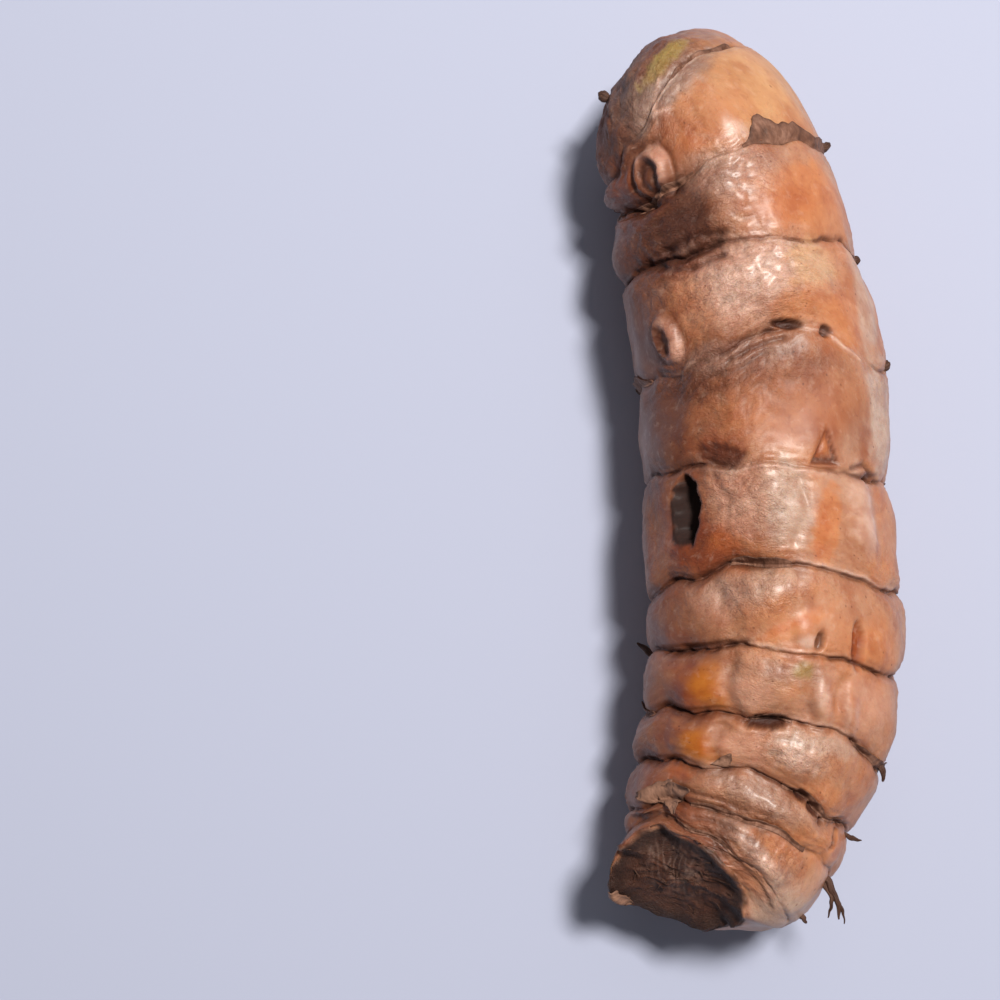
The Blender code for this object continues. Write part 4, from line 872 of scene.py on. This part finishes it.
# rootlets and stubs
def makeTwig(name, line, radii, seed):  # a dried rootlet along a line of points
    sides = 12
    line, radii = np.array(line, float), np.array(radii, float)
    t = np.linspace(0, len(line) - 1, 10 * (len(line) - 1) + 1)
    way = np.stack([np.interp(t, range(len(line)), line[:, i]) for i in range(3)], -1)
    for _ in range(3):
        way[1:-1] = (way[:-2] + 2 * way[1:-1] + way[2:]) / 4
    kinks = [grain(np.stack((t, 0 * t + seed, 0 * t + 9 * i), -1), 0.8, seed) for i in range(3)]
    way = way + 0.14 * np.stack(kinks, -1) * ease(0, 0.6, t)[:, None]
    thick = np.interp(t, range(len(line)), radii)
    ahead = np.gradient(way, axis=0)
    ahead /= np.linalg.norm(ahead, axis=1)[:, None]
    side = np.cross(ahead, (0.3, 0.2, 0.93))
    side /= np.linalg.norm(side, axis=1)[:, None]
    upward = np.cross(ahead, side)
    spin = np.linspace(0, 2 * math.pi, sides, endpoint=False)
    shape = np.cos(spin)[None, :, None] * side[:, None] + np.sin(spin)[None, :, None] * upward[:, None]
    bark = np.stack(np.broadcast_arrays(3 * np.cos(spin), t[:, None] * 2.0, 3 * np.sin(spin)), -1)
    shape = way[:, None] + shape * (thick[:, None] * (1 + 0.28 * grain(bark, 1.6, seed)))[..., None]
    shape[..., 2] = np.maximum(shape[..., 2], 0.02)
    both = np.concatenate((shape.reshape(-1, 3), [way[0], way[-1] + ahead[-1] * thick[-1] * 0.6]))
    inward = [(b, a, end) for a, b, end in capFaces(len(t), sides)]
    faces = [tuple(f[::-1]) for f in gridFaces(len(t), sides)] + inward
    piece = makeMesh(name, both * mm, faces, scaleLook)
    store(piece, "sooty", np.full(len(both), 0.6))
    store(piece, "straight", np.concatenate((bark.reshape(-1, 3), bark[0, :1], bark[-1, :1])) * 0.4)

def fromSkin(at, bend, steps):  # a line that starts inside the skin and leaves it by the steps
    here, out = skinAt(np.array(at, float), np.array(math.radians(bend)))
    stops = [here - out * 0.7]
    for step in steps:
        outBy, alongBy, asideBy, upBy = (*step, 0, 0, 0)[:4]
        stops.append(here + out * outBy + np.array((asideBy, alongBy, upBy)))
    return stops

twigs = {  # dried rootlets: place and angle, steps as (outward, along, aside, up), radii
    "pointedRootlet": ((2.88, 74), ((0.1,), (0.7, 0, 0.1), (1.5, 0.1, 0.3)), (0.3, 0.22, 0.28, 0.06)),
    "branchedRootlet": ((1.86, 78), ((0.2,), (0.8, -1, 0.1), (1, -2, 0.35), (1.1, -3.4, 0.4)),
                        (0.45, 0.32, 0.34, 0.3, 0.08)),
    "branchedRootletFork": ((1.8, 78), ((0.8, -1, 0.1), (0.8, -2, -0.1), (0.8, -2.9, -0.4)),
                            (0.18, 0.22, 0.17, 0.06)),
    "branchedRootletTwig": ((1.86, 78), ((0.9, -1.6, 0.25), (1.1, -2.6, 0.7, 0.1), (1.2, -3.7, 0.8, 0.1)),
                            (0.15, 0.22, 0.16, 0.06)),
    "smallStub": ((1.25, 76), ((0.2, -0.2), (0.35, -0.45, 0.1)), (0.3, 0.26, 0.12)),
    "shoulderStub": ((8.03, 84), ((0.1,), (0.35, 0.1)), (0.6, 0.55, 0.4)),
    "neckStub": ((9.05, 80), ((0.1,), (0.3, 0.1)), (0.6, 0.5, 0.3)),
    "lowStub": ((4.05, 72), ((0.1,), (0.4, -0.6), (0.5, -1.4, -0.2)), (0.4, 0.4, 0.3, 0.1)),
    "tipStub": ((11.62, -52), ((0.1,), (0.5, 0.1, -0.1), (0.8, 0.3, -0.2, 0.1)), (0.6, 0.48, 0.55, 0.3)),
    "sheathNub": ((10.1, 86), ((0.1,), (0.5, 0.3, 0.2)), (0.5, 0.5, 0.3)),
    "backRootlet": ((6.05, 128), ((0.2,), (1, -0.3, 0.3), (1.6, -0.8, 0.6)), (0.5, 0.42, 0.3, 0.1)),
    "leftRootlet": ((5.1, -112), ((0.2,), (0.9, 0.5, -0.2), (1.6, 1.1, -0.3)), (0.5, 0.42, 0.3, 0.1)),
    "leftStub": ((8.1, -108), ((0.2,), (0.7, 0.2)), (0.6, 0.5, 0.3)),
    "lowLeftRootlet": ((3, -118), ((0.2,), (0.8, -0.5), (1.3, -1.1)), (0.45, 0.4, 0.3, 0.1)),
}
for index, (name, ((at0, bend), steps, radii)) in enumerate(twigs.items()):
    makeTwig(name, fromSkin(at0, bend, steps), radii, 500 + index)
print("rootlets made:", len(twigs))

# torn fibres on the broken face
fibres = {"count": 60, "long": (0.3, 0.9), "thick": (0.04, 0.08), "sides": 5}

def makeFibres(name, sides):
    allPoints, allFaces, coords = [], [], []
    for i in range(fibres["count"]):
        at0, bend = -rng.uniform(0.05, 0.97), rng.uniform(-math.pi, math.pi)
        here, out = skinAt(np.array(at0), np.array(bend))
        lean = rng.normal(size=3) * 0.9
        way = out * 0.3 + lean - out * (lean @ out)
        way /= np.linalg.norm(way)
        long, thick = rng.uniform(*fibres["long"]), rng.uniform(*fibres["thick"])
        side = np.cross(way, (0.2, 0.5, 0.8))
        side /= np.linalg.norm(side)
        other = np.cross(way, side)
        start = len(allPoints)
        for j, (t, r) in enumerate(((-0.3, 1.0), (0.5, 0.8), (1.0, 0.25))):
            for k in range(sides):
                spin = 2 * math.pi * k / sides
                away = (side * math.cos(spin) + other * math.sin(spin)) * thick * r
                allPoints.append(here + way * long * t + away)
                coords.append((i * 1.7, t * 2, k))
        allFaces += [tuple(f + start) for f in gridFaces(3, sides)]
        allFaces += [tuple(start + k for k in reversed(range(sides)))]
        allFaces += [tuple(start + 2 * sides + k for k in range(sides))]
    piece = makeMesh(name, np.array(allPoints) * mm, allFaces, scaleLook)
    store(piece, "straight", coords)
    store(piece, "sooty", np.full(len(allPoints), 0.35))

makeFibres("tornFibres", fibres["sides"])
print("fibres made")

# table, light and camera
def makeTable():
    half, thick = 0.6, 0.004
    mesh = bpy.data.meshes.new("table")
    square = ((-half, -half), (half, -half), (half, half), (-half, half))
    sides = [(0, 4, 5, 1), (1, 5, 6, 2), (2, 6, 7, 3), (3, 7, 4, 0)]
    corners = [(x, y, z) for z in (0, -thick) for x, y in square]
    mesh.from_pydata(corners, [], [(0, 1, 2, 3), (7, 6, 5, 4)] + sides)
    mesh.materials.append(tableLook)
    table = bpy.data.objects.new("table", mesh)
    bpy.context.scene.collection.objects.link(table)

makeTable()

studio = {
    "keyFrom": (0.15, 0.20, 0.62), "keySize": 0.11, "keyPower": 5.6, "keyColour": (1.0, 0.96, 0.90),
    "fillFrom": (0.10, 0.35, 0.50), "fillSize": 0.5, "fillPower": 0.35,
    "skyColour": (0.92, 0.95, 1.0), "skyStrength": 0.135,
}

def addLight(name, place, size, power, colour):
    lamp = bpy.data.lights.new(name, "AREA")
    lamp.energy, lamp.size, lamp.color = power, size, colour
    holder = bpy.data.objects.new(name, lamp)
    holder.location = place
    holder.rotation_euler = (Matrix.Identity(3) @ holder.location).to_track_quat("Z", "Y").to_euler()
    bpy.context.scene.collection.objects.link(holder)

addLight("keyLight", studio["keyFrom"], studio["keySize"], studio["keyPower"], studio["keyColour"])
addLight("fillLight", studio["fillFrom"], studio["fillSize"], studio["fillPower"], (1, 1, 1))
world = bpy.data.worlds.new("softRoom")
world.use_nodes = True
world.node_tree.nodes["Background"].inputs[0].default_value = (*studio["skyColour"], 1)
world.node_tree.nodes["Background"].inputs[1].default_value = studio["skyStrength"]
bpy.context.scene.world = world
bpy.context.scene.view_settings.view_transform = "Standard"

view = {"aside": -24.76, "along": -1.01, "height": 246.3, "lens": 84.6}  # straight down, beside the root
camera = bpy.data.objects.new("camera", bpy.data.cameras.new("camera"))
camera.data.lens = view["lens"]
camera.data.clip_start = 0.01
camera.location = (view["aside"] * mm, view["along"] * mm, view["height"] * mm)
bpy.context.scene.collection.objects.link(camera)
bpy.context.scene.camera = camera
print("stage set")
